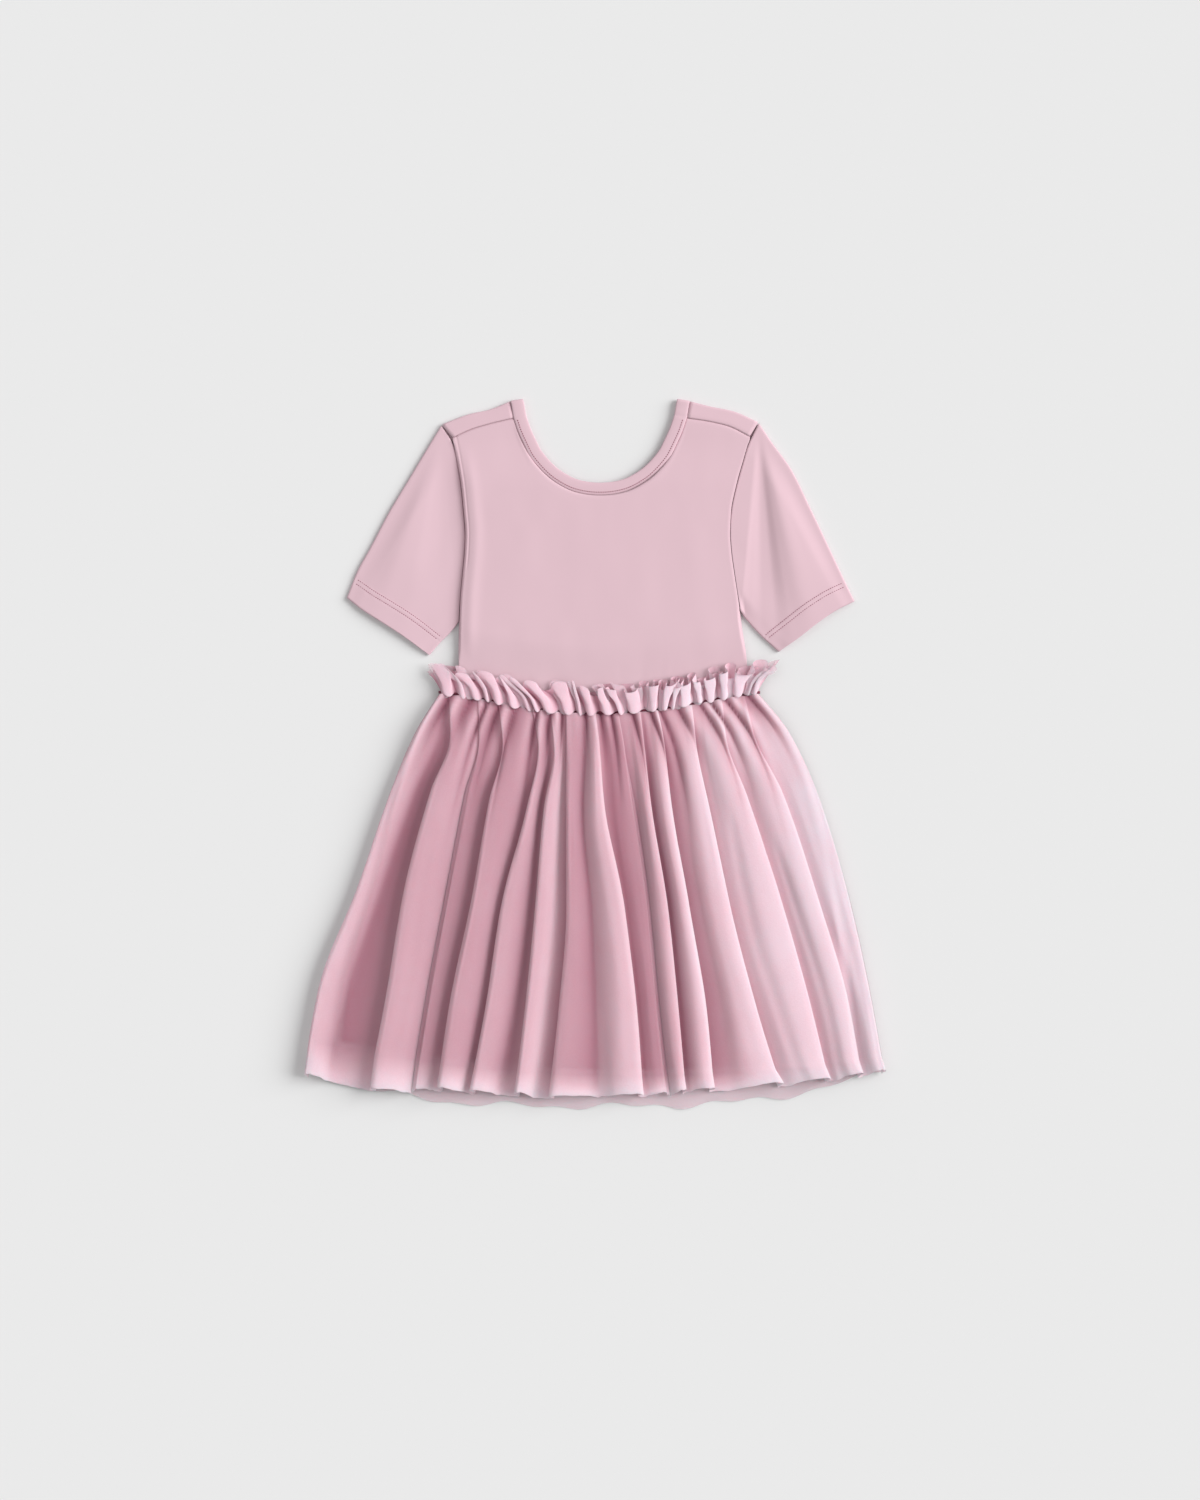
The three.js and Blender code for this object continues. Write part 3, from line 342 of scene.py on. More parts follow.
# Shared by all cloths: the width of the sheen, the specular level, how far light spreads in each colour
# and at what scale, the height of the grain, how many drifts to a metre, and the range of the grain that
# tints
SHEEN_ROUGHNESS = 0.45
CLOTH_SPECULAR = 0.2
GLOW_RADIUS = (1.0, 0.7, 0.75)
GLOW_DEPTH = 0.004
GRAIN_DEPTH = 0.0003
DRIFT_SCALE = 14
GRAIN_RANGE = (0.3, 0.6)
NET_GRAIN_LOW = 0.85

# The studio, in metres. Its windows are far off: where each one stands from the dress, how wide it looks,
# in radians, and its light.
WINDOWS = (
    ("window_right", (1.0, 0.28, 0.64), 0.75, 3.02),
    ("window_left", (-1.0, 0.3, 1.4), 0.7, 0.25),
)
ROOM_LIGHT = 0.46
FLOOR_HALF = 4.0
FLOOR_LEVEL = -0.0003
FLOOR_ROUGHNESS = 0.95
FLOOR_SPECULAR = 0.1

# The camera looks straight down at the photo's middle
PHOTO_MIDDLE = (0.0044, 0.0037)
PHOTO_HEIGHT = 1.35
CAMERA_HEIGHT = 3.4
CAMERA_REACH = 30
SENSOR_HEIGHT = 24
NET_LAYERS_SEEN = 32


def ease(share):
    """The cubic from 0 to 1 that is level at both ends."""
    return share * share * (3 - 2 * share)


def smooth_step(low, high, value):
    """Rises from 0 at low to 1 at high along that cubic."""
    return ease(np.clip((value - low) / (high - low), 0, 1))


def mix(start, end, share):
    """A straight blend from start to end."""
    return start + (end - start) * share


def cubic_span(value, slope, i, t, step):
    """The cubic at t of the span after value i: an eased blend to the next value, bent by the slopes
    there."""
    bend = (1 - t) ** 2 * t * slope[i] - (1 - t) * t ** 2 * slope[i + 1]
    return mix(value[i], value[i + 1], ease(t)) + bend * step


def table_curve(at, value):
    """A cubic through each (at, value) that never swings past them: each slope is the harmonic mean of
    the rises on its two sides, or level where they differ in sign."""
    at = np.asarray(at, float)
    value = np.asarray(value, float)
    order = np.argsort(at)
    at, value = at[order], value[order]
    rise = np.diff(value) / np.diff(at)
    inner = rise[:-1] * rise[1:]
    safe_sum = np.where(inner > 0, rise[:-1] + rise[1:], 1)
    slope = np.concatenate((rise[:1], np.where(inner > 0, 2 * inner / safe_sum, 0), rise[-1:]))

    def curve(where):
        spot = np.clip(where, at[0], at[-1])
        i = np.clip(np.searchsorted(at, spot, side="right") - 1, 0, len(at) - 2)
        step = at[i + 1] - at[i]
        return cubic_span(value, slope, i, (spot - at[i]) / step, step)
    return curve


def walked_along(points):
    """How far each point of a row lies from the first, walked from point to point."""
    return np.concatenate(((0,), np.cumsum(np.linalg.norm(np.diff(points, axis=0), axis=1))))


def path_through(points):
    """A smooth path through points on the table: Catmull-Rom arcs by chord length, walked at even
    speed."""
    points = np.asarray(points, float)
    chord = walked_along(points)
    slope = np.gradient(points, chord, axis=0)
    fine = np.linspace(0, chord[-1], 800)
    i = np.clip(np.searchsorted(chord, fine, side="right") - 1, 0, len(chord) - 2)
    step = (chord[i + 1] - chord[i])[:, None]
    spots = cubic_span(points, slope, i, (fine - chord[i])[:, None] / step, step)
    walked = walked_along(spots)

    def path(share):
        way = np.asarray(share) * walked[-1]
        return np.stack((np.interp(way, walked, spots[:, 0]), np.interp(way, walked, spots[:, 1])), axis=-1)
    path.length = walked[-1]
    return path


def value_noise(x, y, seed):
    """Soft noise from -1 to 1 with one random value at each whole x and y, eased between them."""
    chances = np.random.default_rng(seed).uniform(-1, 1, (64, 64))
    column, row = np.floor(x).astype(int), np.floor(y).astype(int)
    tx, ty = ease(x - column), ease(y - row)
    at = lambda dx, dy: chances[(column + dx) % 64, (row + dy) % 64]
    return mix(mix(at(0, 0), at(1, 0), tx), mix(at(0, 1), at(1, 1), tx), ty)


def cubic_weights(count, steps):
    """The weights that turn a row of count points into a cubic B-spline with steps points to each of
    its spans, starting and ending on the first and last of them."""
    along = np.linspace(0, count - 1, (count - 1) * steps + 1)
    first = np.clip(along.astype(int), 0, count - 2)
    t = along - first
    parts = np.stack((
        (1 - t) ** 3, 3 * t ** 3 - 6 * t ** 2 + 4, -3 * t ** 3 + 3 * t ** 2 + 3 * t + 1, t ** 3))
    weights = np.zeros((len(along), count + 2))
    for offset in range(4):
        weights[np.arange(len(along)), first + offset] += parts[offset] / 6
    weights[:, 1] += 2 * weights[:, 0]
    weights[:, 2] -= weights[:, 0]
    weights[:, -2] += 2 * weights[:, -1]
    weights[:, -3] -= weights[:, -1]
    return weights[:, 1:-1]


def sheet_between(lower, upper, left, right):
    """A sheet between four edges: each column runs straight from the lower edge to the upper one, and
    the side edges' own bends are added, fading as the eighth power of the distance from that side."""
    v = np.linspace(0, 1, len(left))[:, None, None]
    u = ((lower[:, 0] - lower[0, 0]) / (lower[-1, 0] - lower[0, 0]))[None, :, None]
    spots = mix(lower[None], upper[None], v)
    left_bend = left[:, None] - mix(lower[0], upper[0], v)
    right_bend = right[:, None] - mix(lower[-1], upper[-1], v)
    return spots + left_bend * (1 - u) ** 8 + right_bend * u ** 8


def with_level(spots, level):
    """Points of the table with their heights."""
    return np.concatenate((spots, np.broadcast_to(level, spots.shape[:2])[..., None]), axis=-1)


def scene_object(name, data):
    """An object that holds the data, placed in the scene."""
    made = bpy.data.objects.new(name, data)
    bpy.context.scene.collection.objects.link(made)
    return made


def mesh_object(name, places, faces):
    """A smooth mesh from points in metres and faces."""
    mesh = bpy.data.meshes.new(name)
    mesh.from_pydata(places.tolist(), [], faces)
    mesh.polygons.foreach_set("use_smooth", np.ones(len(faces), bool))
    mesh.update()
    return scene_object(name, mesh)


def cloth_object(name, points, wall=None, ring=False, tube=False, keep=None):
    """A mesh on a grid of points in millimetres, thickened evenly to both sides where a wall is given.
    ring joins the last row to the first, tube the last column to the first, and keep marks the cells
    that are cloth. Its UV map is the distance along and across, in metres."""
    places = (points - BOX_MIDDLE) * MM
    rows, columns = places.shape[:2]
    ids = np.arange(rows * columns).reshape(rows, columns)
    wrapped = places
    if ring:
        ids = np.vstack((ids, ids[:1]))
        wrapped = np.concatenate((wrapped, wrapped[:1]), axis=0)
    if tube:
        ids = np.hstack((ids, ids[:, :1]))
        wrapped = np.concatenate((wrapped, wrapped[:, :1]), axis=1)
    across = np.linalg.norm(np.diff(wrapped, axis=1), axis=2).mean(axis=0)
    along = np.linalg.norm(np.diff(wrapped, axis=0), axis=2).mean(axis=1)
    u = np.concatenate(((0,), np.cumsum(across)))
    v = np.concatenate(((0,), np.cumsum(along)))
    uv = np.stack(np.broadcast_arrays(u[None, :], v[:, None]), axis=-1)
    corners = lambda grid: np.stack((grid[:-1, :-1], grid[:-1, 1:], grid[1:, 1:], grid[1:, :-1]), axis=2)
    cells, cell_uv = corners(ids), corners(uv)
    kept = np.ones(cells.shape[:2], bool) if keep is None else keep
    used, faces = np.unique(cells[kept], return_inverse=True)
    piece = mesh_object(name, places.reshape(-1, 3)[used], faces.reshape(-1, 4).tolist())
    piece.data.uv_layers.new(name="cloth").data.foreach_set("uv", cell_uv[kept].reshape(-1))
    if wall:
        thickened = piece.modifiers.new("wall", "SOLIDIFY")
        thickened.thickness = wall * MM
        thickened.offset = 0
        thickened.use_even_offset = True
    return piece


def net_values(piece, dense, cover):
    """Keeps how many layers a net seems to have, with the painted light and shade that go with them, and how
    much it covers, for all of a piece or for each of its points. Its material reads both."""
    for name, values in (("net_density", dense), ("net_cover", cover)):
        everywhere = np.broadcast_to(np.ravel(values), len(piece.data.vertices)).astype(np.float32)
        piece.data.attributes.new(name, "FLOAT", "POINT").data.foreach_set("value", everywhere)


def place_piece(piece, node, cloth):
    """Rides the piece on the dress, hides the solid it stands for and gives it its cloth."""
    piece.data.materials.append(cloth_material(cloth))
    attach(piece, "root")
    if node:
        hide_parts(node)


# Shape of the dress

bodice_left = table_curve(BODICE_SECTIONS["y"], BODICE_SECTIONS["left"])
bodice_right = table_curve(BODICE_SECTIONS["y"], BODICE_SECTIONS["right"])


def waist_y(x):
    """The waist seam: a parabola, lowest at the middle of the dress, that levels off at its sides."""
    share = (x - WAIST_MIDDLE_X) / WAIST_HALF
    return WAIST_LOW_Y + WAIST_BOW * share ** 2 / (1 + share ** 8) ** 0.25


def waist_rise(x, y):
    """1 where the bodice lies over the back of the heading, falling to 0 further up."""
    return 1 - smooth_step(WAIST_STACK_NEAR, WAIST_STACK_FAR, y - waist_y(x))


def front_level(x, y):
    """Height of the front panel: two steps, one up from each side, multiplied. The right one is wider
    beside the sleeve, and the left one has a low round rim on it. The height blends to that of the
    shoulders near the top and to the lining's at the waist. The left armhole's seam is a fine ditch, a
    bell curve across."""
    from_left, from_right = x - bodice_left(y), bodice_right(y) - x
    left = 0.9 * smooth_step(-0.3, 1.6, from_left) + 0.15 * np.exp(-((from_left - 9) / 6) ** 2)
    left = left + 0.1 * smooth_step(2, 12, from_left)
    beside_sleeve = smooth_step(122, 142, y)
    right = 0.8 * smooth_step(mix(-0.3, -9, beside_sleeve), 2.5, from_right)
    right = right + 0.2 * smooth_step(0, 40, from_right)
    near_shoulder = smooth_step(240, 286, y)
    ditch = ARMHOLE_DITCH * np.exp(-((from_left - ARMHOLE_DITCH_INSIDE) / 0.7) ** 2)
    ditch = ditch * smooth_step(165, 175, y)
    level = mix(SIDE_EDGE_LEVEL + BODICE_FULLNESS * left * right, SHOULDER_LEVEL, near_shoulder) - ditch
    return mix(level, FRONT_LINING_LEVEL, waist_rise(x, y))


def neck_seam(first_row, deeper):
    """Path of the neck seam from the left shoulder round to the right one: the table and its mirror
    image."""
    y = NECK_TOP_Y - NECK_SECTIONS["drop"] * deeper
    half = np.stack((NECK_SECTIONS["across"], y), axis=-1)[first_row:]
    left = half * (-1, 1) + (NECK_MIDDLE_X, 0)
    right = (half + (NECK_MIDDLE_X, 0))[-2::-1]
    return path_through(np.concatenate((left, right)))


def shoulder_path(rows, x, y, reverse=False):
    """Path of a shoulder fold or seam from its table."""
    points = np.stack((rows[x], rows[y]), axis=-1)
    return path_through(points[::-1] if reverse else points)


def panel_edges(upper, rows, reach):
    """The lower edge of a bodice panel on the waist seam, its columns spread as the upper edge's, and
    its two sides, which follow the body and turn to the upper corners within reach of them."""
    share = (upper[:, 0] - upper[0, 0]) / (upper[-1, 0] - upper[0, 0])
    x = mix(bodice_left(0), bodice_right(0), share)
    lower = np.stack((x, waist_y(x)), axis=-1)
    sides = []
    for column, side_of in ((0, bodice_left), (-1, bodice_right)):
        y = np.linspace(lower[column, 1], upper[column, 1], rows)
        near_end = smooth_step(upper[column, 1] - reach, upper[column, 1], y)
        side = np.stack((mix(side_of(y), upper[column, 0], near_end), y), axis=-1)
        side[0], side[-1] = lower[column], upper[column]
        sides.append(side)
    return lower, sides[0], sides[1]


def bodice_front_sheet(shoulder=64, neck=120, rows=130):
    """The front panel between the waist seam, the body's sides, the shoulder seams and the neck seam.
    It dips beside the neck and shoulder seams, as a stitched seam does. Two soft noises drift over it,
    away from its edges, and a third pulls fine upright creases out of the waist seam."""
    even = np.linspace(0, 1, shoulder + 1)
    left = shoulder_path(LEFT_SHOULDER, "seam_x", "seam_y")(even)
    middle = neck_seam(1, 1)(np.linspace(0, 1, neck + 1))
    right = shoulder_path(RIGHT_SHOULDER, "seam_x", "seam_y", True)(even)
    upper = np.concatenate((left, middle[1:-1], right))
    lower, left_side, right_side = panel_edges(upper, rows, 8)
    spots = sheet_between(lower, upper, left_side, right_side)
    x, y = spots[..., 0], spots[..., 1]
    level = front_level(x, y)
    from_top = np.linalg.norm(upper[None] - spots, axis=2)
    level = level - SEAM_DIP * (1 - smooth_step(0, SEAM_DIP_WIDTH, from_top))
    drift = value_noise(x / 34 + 7, y / 46 + 3, 5) * 0.35 + value_noise(x / 15, y / 22, 6) * 0.12
    inside = smooth_step(0, 25, np.minimum(x - bodice_left(y), bodice_right(y) - x))
    pulls = value_noise(x / 6.1, y / 60, 9) * 0.1 * (1 - smooth_step(20, 60, y - waist_y(x)))
    return with_level(spots, level + (drift + pulls) * inside * smooth_step(0, 12, from_top))


def bodice_back_sheet(shoulder=18, neck=90, rows=60):
    """The back panel: flat on the table up to the shoulder folds and the back of the neck, then a half
    turn over each fold, and flat again to the shoulder seams. Returns the sheet and the cells that are
    cloth."""
    even = np.linspace(0, 1, shoulder + 1)
    middle = neck_seam(0, BACK_NECK_DEEPER)(np.linspace(0, 1, neck + 1))[1:-1]
    edge = lambda x, y: np.concatenate((
        shoulder_path(LEFT_SHOULDER, x, y)(even), middle, shoulder_path(RIGHT_SHOULDER, x, y, True)(even)))
    fold, seam = edge("fold_x", "fold_y"), edge("seam_x", "seam_y")
    lower, left, right = panel_edges(fold, rows, 20)
    flat = sheet_between(lower, fold, left, right)
    columns = np.arange(len(fold))
    strap = (columns <= shoulder) | (columns >= shoulder + neck)
    radius = (SHOULDER_FOLD_LEVEL - BACK_BODICE_LEVEL) / 2
    flat[-1, strap, 1] -= radius
    rise = waist_rise(flat[..., 0], flat[..., 1])
    sheet = [with_level(flat, mix(BACK_BODICE_LEVEL, BACK_LINING_LEVEL, rise))]
    for angle in np.radians(np.linspace(20, 180, 9)):
        turn = np.stack((fold[:, 0], fold[:, 1] - radius + radius * np.sin(angle)), axis=-1)
        sheet.append(with_level(turn[None], BACK_BODICE_LEVEL + radius * (1 - np.cos(angle))))
    for share in np.linspace(0.15, 1, 8):
        start = fold - (0, radius)
        spots = mix(start, seam + (0, SEAM_GAP), share)
        dip = 0.5 * smooth_step(0.8, 1, share)
        sheet.append(with_level(spots[None], mix(SHOULDER_FOLD_LEVEL, SHOULDER_LEVEL + 0.3, share) - dip))
    sheet = np.concatenate(sheet)
    cell_columns = np.arange(len(fold) - 1)
    strap_cell = (cell_columns < shoulder) | (cell_columns >= shoulder + neck)
    keep = (np.arange(len(sheet) - 1)[:, None] < rows - 1) | strap_cell[None]
    return sheet, keep


def band_rows(path, width, level, crown):
    """Sections across a band that lies inside a path: seven points from the seam to the neck edge,
    raised by crown along the middle and dipping to both edges. The band's own joins are ditches across
    it."""
    ahead = np.gradient(path, axis=0)
    inward = np.stack((-ahead[:, 1], ahead[:, 0]), axis=-1)
    inward /= np.linalg.norm(inward, axis=1)[:, None]
    share = np.array((0, 0.1, 0.25, 0.5, 0.75, 0.92, 1))
    spots = path[:, None] + inward[:, None] * (SEAM_GAP + share * width)[None, :, None]
    bulge = crown * (1 - (2 * share - 1) ** 4)
    joins = sum(np.exp(-((path[:, 1] - y) / 0.8) ** 2) for y in BAND_JOINS_Y) * (path[:, 0] > NECK_MIDDLE_X)
    return with_level(spots, level + bulge[None, :] - crown * joins[:, None])


def neckband_sheet(width, front_count=150, back_count=90):
    """The band along the front neck, over the right shoulder by a half turn, along the back and over
    the left shoulder, closed on itself."""
    left_end, right_end = (np.array((rows["fold_x"][-1], rows["fold_y"][-1]))
                           for rows in (LEFT_SHOULDER, RIGHT_SHOULDER))
    scoop = neck_seam(1, 1)(np.linspace(0, 1, front_count + 1))
    straight = np.linspace(0, 1, 8)[:-1, None]
    front_path = np.concatenate((mix(left_end, scoop[0], straight), scoop,
                                 mix(right_end, scoop[-1], straight)[::-1]))
    radius = (SHOULDER_LEVEL - BAND_BACK_LEVEL) / 2
    front = band_rows(front_path, width, SHOULDER_LEVEL, BAND_CROWN)
    back_path = neck_seam(0, BACK_NECK_DEEPER)(np.linspace(0, 1, back_count + 1))
    back = band_rows(back_path, width, BAND_BACK_LEVEL, 0)[::-1]
    for rows in (front, back):
        rows[0, :, 1] -= radius
        rows[-1, :, 1] -= radius

    def roll(start, end):
        angle = np.radians(np.linspace(0, 180, 12)[1:-1])[:, None, None]
        turned = mix(start[None], end[None], angle / np.pi)
        turned[..., 1] += radius * np.sin(angle[..., 0])
        turned[..., 2] = mix(start[None, :, 2], end[None, :, 2], (1 - np.cos(angle[..., 0])) / 2)
        return turned
    return np.concatenate((front, roll(front[-1], back[0]), back, roll(back[-1], front[0])))


class SleeveShape:
    """One sleeve as a flattened tube: `spot` gives the place on the table for the share along the
    sleeve from armhole to cuff and the share across it from outer to inner fold, blended between its
    four edges."""

    def __init__(self, outline, rise, side):
        side_of = bodice_left if side < 0 else bodice_right
        beside = [(float(side_of(y)) + side * ARMHOLE_GAP, y) for y in ARMHOLE_LEVELS]
        self.armhole = path_through([outline["outer"][0], *beside, outline["inner"][0]])
        self.cuff = path_through(outline["cuff"])
        self.outer = path_through(outline["outer"])
        self.inner = path_through(outline["inner"])
        self.rise = table_curve(rise["fan"], rise["up"])
        self.shoulder = np.array(outline["outer"][0], float)
        self.outer_turn = self.turn_of(np.array(outline["cuff"][0], float))
        self.body_turn = self.turn_of(np.array(outline["inner"][0], float))
        self.side = side

    def turn_of(self, spots):
        """Angle from the shoulder to each place, from straight down."""
        away = spots - self.shoulder
        return np.arctan2(away[..., 0], -away[..., 1])

    def spot(self, along, across):
        """Place on the table: the blend of armhole and cuff and the blend of the two folds, added,
        less the blend of the four corners."""
        v, u = along[..., None], across[..., None]
        sides = mix(self.outer(along), self.inner(along), u)
        start_line = mix(self.armhole(0.0), self.armhole(1.0), u)
        end_line = mix(self.cuff(0.0), self.cuff(1.0), u)
        return mix(self.armhole(across), self.cuff(across), v) + sides - mix(start_line, end_line, v)

    def hem_distance(self, along, across):
        """How far a point lies from the cuff, in millimetres."""
        return (1 - along) * mix(self.outer.length, self.inner.length, across)

    def upper_level(self, along, across):
        """Height of the upper layer over the lower one: the folds' own height and the table's ridge
        and hollow, which grow with the distance from the shoulder and fade at the two folds and
        towards the cuff. A slow drift, a step where the doubled hem ends and a ditch under each row of
        stitches are added."""
        spots = self.spot(along, across)
        fan = np.clip((self.turn_of(spots) - self.outer_turn) / (self.body_turn - self.outer_turn), 0, 1)
        away = np.linalg.norm(spots - self.shoulder, axis=-1)
        hem = self.hem_distance(along, across)
        grown = smooth_step(-25, SLEEVE_FAN_LENGTH, away) * mix(0.55, 1, smooth_step(0, 60, hem))
        near_body = mix(1, smooth_step(1, 0.86, across), smooth_step(0, 0.15, along))
        arch = smooth_step(0, 0.16, across) * near_body
        drift = 0.3 * value_noise(across * 5 + 11, along * 4 + 5, 8 + self.side)
        step = SLEEVE_HEM_STEP * (1 - smooth_step(*SLEEVE_HEM_ENDS, hem))
        ditch = sum(np.exp(-((hem - row) / 0.6) ** 2) for row in SLEEVE_STITCH_ROWS)
        raised = (self.rise(fan) * grown + drift + step) * arch
        return 2 * SLEEVE_FOLD_RADIUS + raised - STITCH_DITCH * ditch


def sleeve_sheet(shape, lengths=90):
    """Rings along the sleeve: a flat lower layer, a half turn at the inner fold, the arched upper
    layer and a half turn at the outer fold."""
    along = np.linspace(0, 1, lengths)[:, None]
    across_ends = np.array((0.0, 1.0))[None, :]
    ends = shape.spot(np.broadcast_to(along, (lengths, 2)), np.broadcast_to(across_ends, (lengths, 2)))
    fold = SLEEVE_FOLD_RADIUS / np.linalg.norm(ends[:, 1] - ends[:, 0], axis=1)[:, None]
    turn = np.radians(np.linspace(0, 180, 9)[1:-1])[None, :]
    lower = mix(fold, 1 - fold, np.linspace(0, 1, 14)[None, :])
    upper = mix(1 - fold, fold, np.linspace(0, 1, 60)[None, :])
    across = np.concatenate(
        (lower, 1 - fold + fold * np.sin(turn), upper, fold - fold * np.sin(turn)), axis=1)
    both = np.broadcast_to(along, across.shape)
    up = np.concatenate((
        np.zeros_like(lower),
        SLEEVE_FOLD_RADIUS * (1 - np.cos(turn)) + np.zeros_like(fold),
        shape.upper_level(np.broadcast_to(along, upper.shape), upper),
        SLEEVE_FOLD_RADIUS * (1 + np.cos(turn)) + np.zeros_like(fold)), axis=1)
    return with_level(shape.spot(both, across), JERSEY / 2 + up)


def ruffle_sheet(height, crest, waves, seed, level, steps=30, levels=28):
    """One layer of the heading above the waist seam. Each wave is a petal, the sine's square to the
    power 0.55, and the waves are unevenly wide. Near the seam the petals swell out and hang over it in
    round bags. They stand away from the bodice to their free edge, which is taller there than in the
    hollows on the left half and shorter on the right half, where they cup. Their flanks swing sideways
    by the sine of twice the phase, so that the free edge runs in loops. Each leans its own way, on top
    of a lean that changes along the heading. Returns the sheet, the net's layering at each point with
    painted shade in the hollows between the petals, less where they cup, and painted light growing
    towards the right, and how much of what lies below it is covered."""
    share = np.linspace(0, 1, levels)[:, None] ** 1.2
    wave = np.linspace(0, waves, waves * steps + 1)[None, :]
    chance = np.random.default_rng(seed)
    ends_of_waves = np.arange(waves + 1)
    per_wave = lambda low, high: table_curve(ends_of_waves, chance.uniform(low, high, waves + 1))(wave)
    walked = np.concatenate(((0,), np.cumsum(chance.uniform(0.55, 1.7, waves))))
    along = table_curve(ends_of_waves, walked / walked[-1])(wave)
    phase = 2 * np.pi * wave
    rounded = (1 - np.cos(phase)) / 2
    petal = rounded ** 0.55
    open_out = smooth_step(0, 0.7, share)
    cupped = smooth_step(-10, 60, mix(*HEADING_ENDS, along))
    flank = per_wave(0.1, 0.22) * mix(0.8, 1.3, cupped) * np.sin(2 * phase) * open_out
    root_x = mix(*HEADING_ENDS, along + flank / waves)
    lean = table_curve(HEADING_LEAN["x"], HEADING_LEAN["lean"])(root_x)
    lean = lean + per_wave(-0.4, 0.4) * smooth_step(-138, -125, root_x) * smooth_step(148, 135, root_x)
    lowered = smooth_step(-60, 20, root_x) * smooth_step(120, 60, root_x)
    tall = height * mix(1, 0.9, lowered) + per_wave(-4, 5)
    swell = np.exp(-((share - 0.13) / 0.13) ** 2) - np.exp(-1) * (1 - share) ** 8
    hang = mix(8.8, 6.8, cupped) * per_wave(0.75, 1.2)
    low_hollow = 0.3 * (1 - rounded) * (1 - cupped) * share
    shorter = low_hollow + mix(0, 0.42, cupped) * rounded * share ** 1.5 * per_wave(0.4, 1.3)
    x = root_x + lean * tall * share ** 1.2 + per_wave(-3, 3) * np.sin(np.pi * share) * petal
    y = waist_y(root_x) + 0.9 + tall * share * (1 - shorter) - hang * petal * swell
    outward = smooth_step(-0.03, 0.16, share) * mix(1 - 0.5 * share, 0.85 + 0.2 * share, cupped)
    flutter = 0.8 * value_noise(wave * 3.1, share * 3, 31) * share
    z = level + 1.6 * share ** 2 + crest * per_wave(0.55, 1.25) * petal * outward + flutter
    ends = np.maximum(smooth_step(-118, -140, root_x), smooth_step(125, 150, root_x))
    sheet = np.stack(np.broadcast_arrays(x, y + flutter, z), axis=-1)
    # Painted shade in the hollows between the petals, less where they cup, and painted light growing to the
    # right
    dense = mix(mix(0, 0.5, cupped), 1, petal) * mix(0.88, 1.2, smooth_step(-10, 120, root_x))
    return sheet, np.broadcast_to(dense, x.shape), mix(0.93, 0.55, ends * share)


def ruffle_back_sheet(height, waves=14, steps=14, levels=6):
    """The heading behind the dress, pressed flat: low waves as the squared sine."""
    share = np.linspace(0, 1, levels)[:, None]
    along = np.linspace(0, 1, waves * steps + 1)[None, :]
    x = mix(*HEADING_ENDS, along) + mix(0, 5, share) * (2 * along - 1)
    y = waist_y(x) + 1.2 + GATHER_GAP + (height - 2) * share
    z = TULLE / 2 + BACK_TULLE_RIPPLE * 0.8 * np.sin(np.pi * along * waves) ** 2
    return np.stack(np.broadcast_arrays(x, y, z), axis=-1)


def gather_sheet(width, pieces=120):
    """The gathering elastic as a ring: over the front on the waist seam, a half turn at each side, and
    back under the dress."""
    left, right = ELASTIC_ENDS
    high, low = FRONT_TULLE_LEVEL - 0.7, TULLE / 2
    radius = (high - low) / 2
    x = np.linspace(left, right, pieces)
    angle = np.radians(np.linspace(0, 180, 12)[1:-1])
    xs = np.concatenate((x, right + radius * np.sin(angle), x[::-1], left - radius * np.sin(angle)))
    turn_z = mix(high, low, (1 - np.cos(angle)) / 2)
    zs = np.concatenate((np.full(pieces, high), turn_z, np.full(pieces, low), turn_z[::-1]))
    share = np.array((0.5, 0, -0.5))
    y = waist_y(xs)[:, None] + share[None] * width
    z = zs[:, None] + np.where(share == 0, ELASTIC_CROWN, 0)[None]
    return np.stack(np.broadcast_arrays(xs[:, None], y, z), axis=-1)


def fold_column(name):
    """One named column of the fold table."""
    return np.array([FOLDS[fold][FOLD_COLUMNS.index(name)] for fold in FOLD_NAMES], float)


def fold_sides(down):
    """x of every fold's left side at each share of the way down: rows are shares, columns are folds."""
    stations = np.stack([fold_column(name) for name in STATIONS])
    curves = [table_curve(list(STATIONS.values()), stations[:, fold]) for fold in range(len(FOLD_NAMES))]
    return np.stack([curve(down) for curve in curves], axis=-1)


def silhouette(down):
    """x of the skirt's left and right sides."""
    sides = fold_sides(down)
    return sides[..., 0], sides[..., -1]


def skirt_top_y(x):
    """Top of the skirt, just below the gathering elastic."""
    return waist_y(x) - 1.2 - GATHER_GAP


def lining_hem_y(x):
    """The lining's hem: a parabola that rises to both sides."""
    return LINING_HEM_LOW_Y + LINING_HEM_RISE * ((x - LINING_HEM_MIDDLE_X) / LINING_HEM_HALF) ** 2


def lining_top_y(x):
    """Top of the lining, at the waist seam."""
    return waist_y(x) - LINING_TOP_GAP


def back_hem_y(x):
    """The back tulle's hem: it rises with the cube of the distance from the middle, with two small
    waves."""
    share = (x - BACK_HEM_MIDDLE_X) / BACK_HEM_HALF
    arc = BACK_HEM_LOW_Y + BACK_HEM_RISE * np.abs(share) ** 3
    return arc + sum(size * np.sin(np.pi * waves * share) for waves, size in BACK_HEM_WAVES)


def back_tulle_level(along):
    """Height of the back tulle: low ripples on the table, as the squared sine."""
    return TULLE / 2 + BACK_TULLE_RIPPLE * np.sin(np.pi * along * BACK_TULLE_RIPPLES) ** 2


def past_lining_hem(down):
    """0 over the lining, rising to 1 at the tulle's hem."""
    return np.maximum(0, (down - LINING_HEM_DOWN) / (1 - LINING_HEM_DOWN))


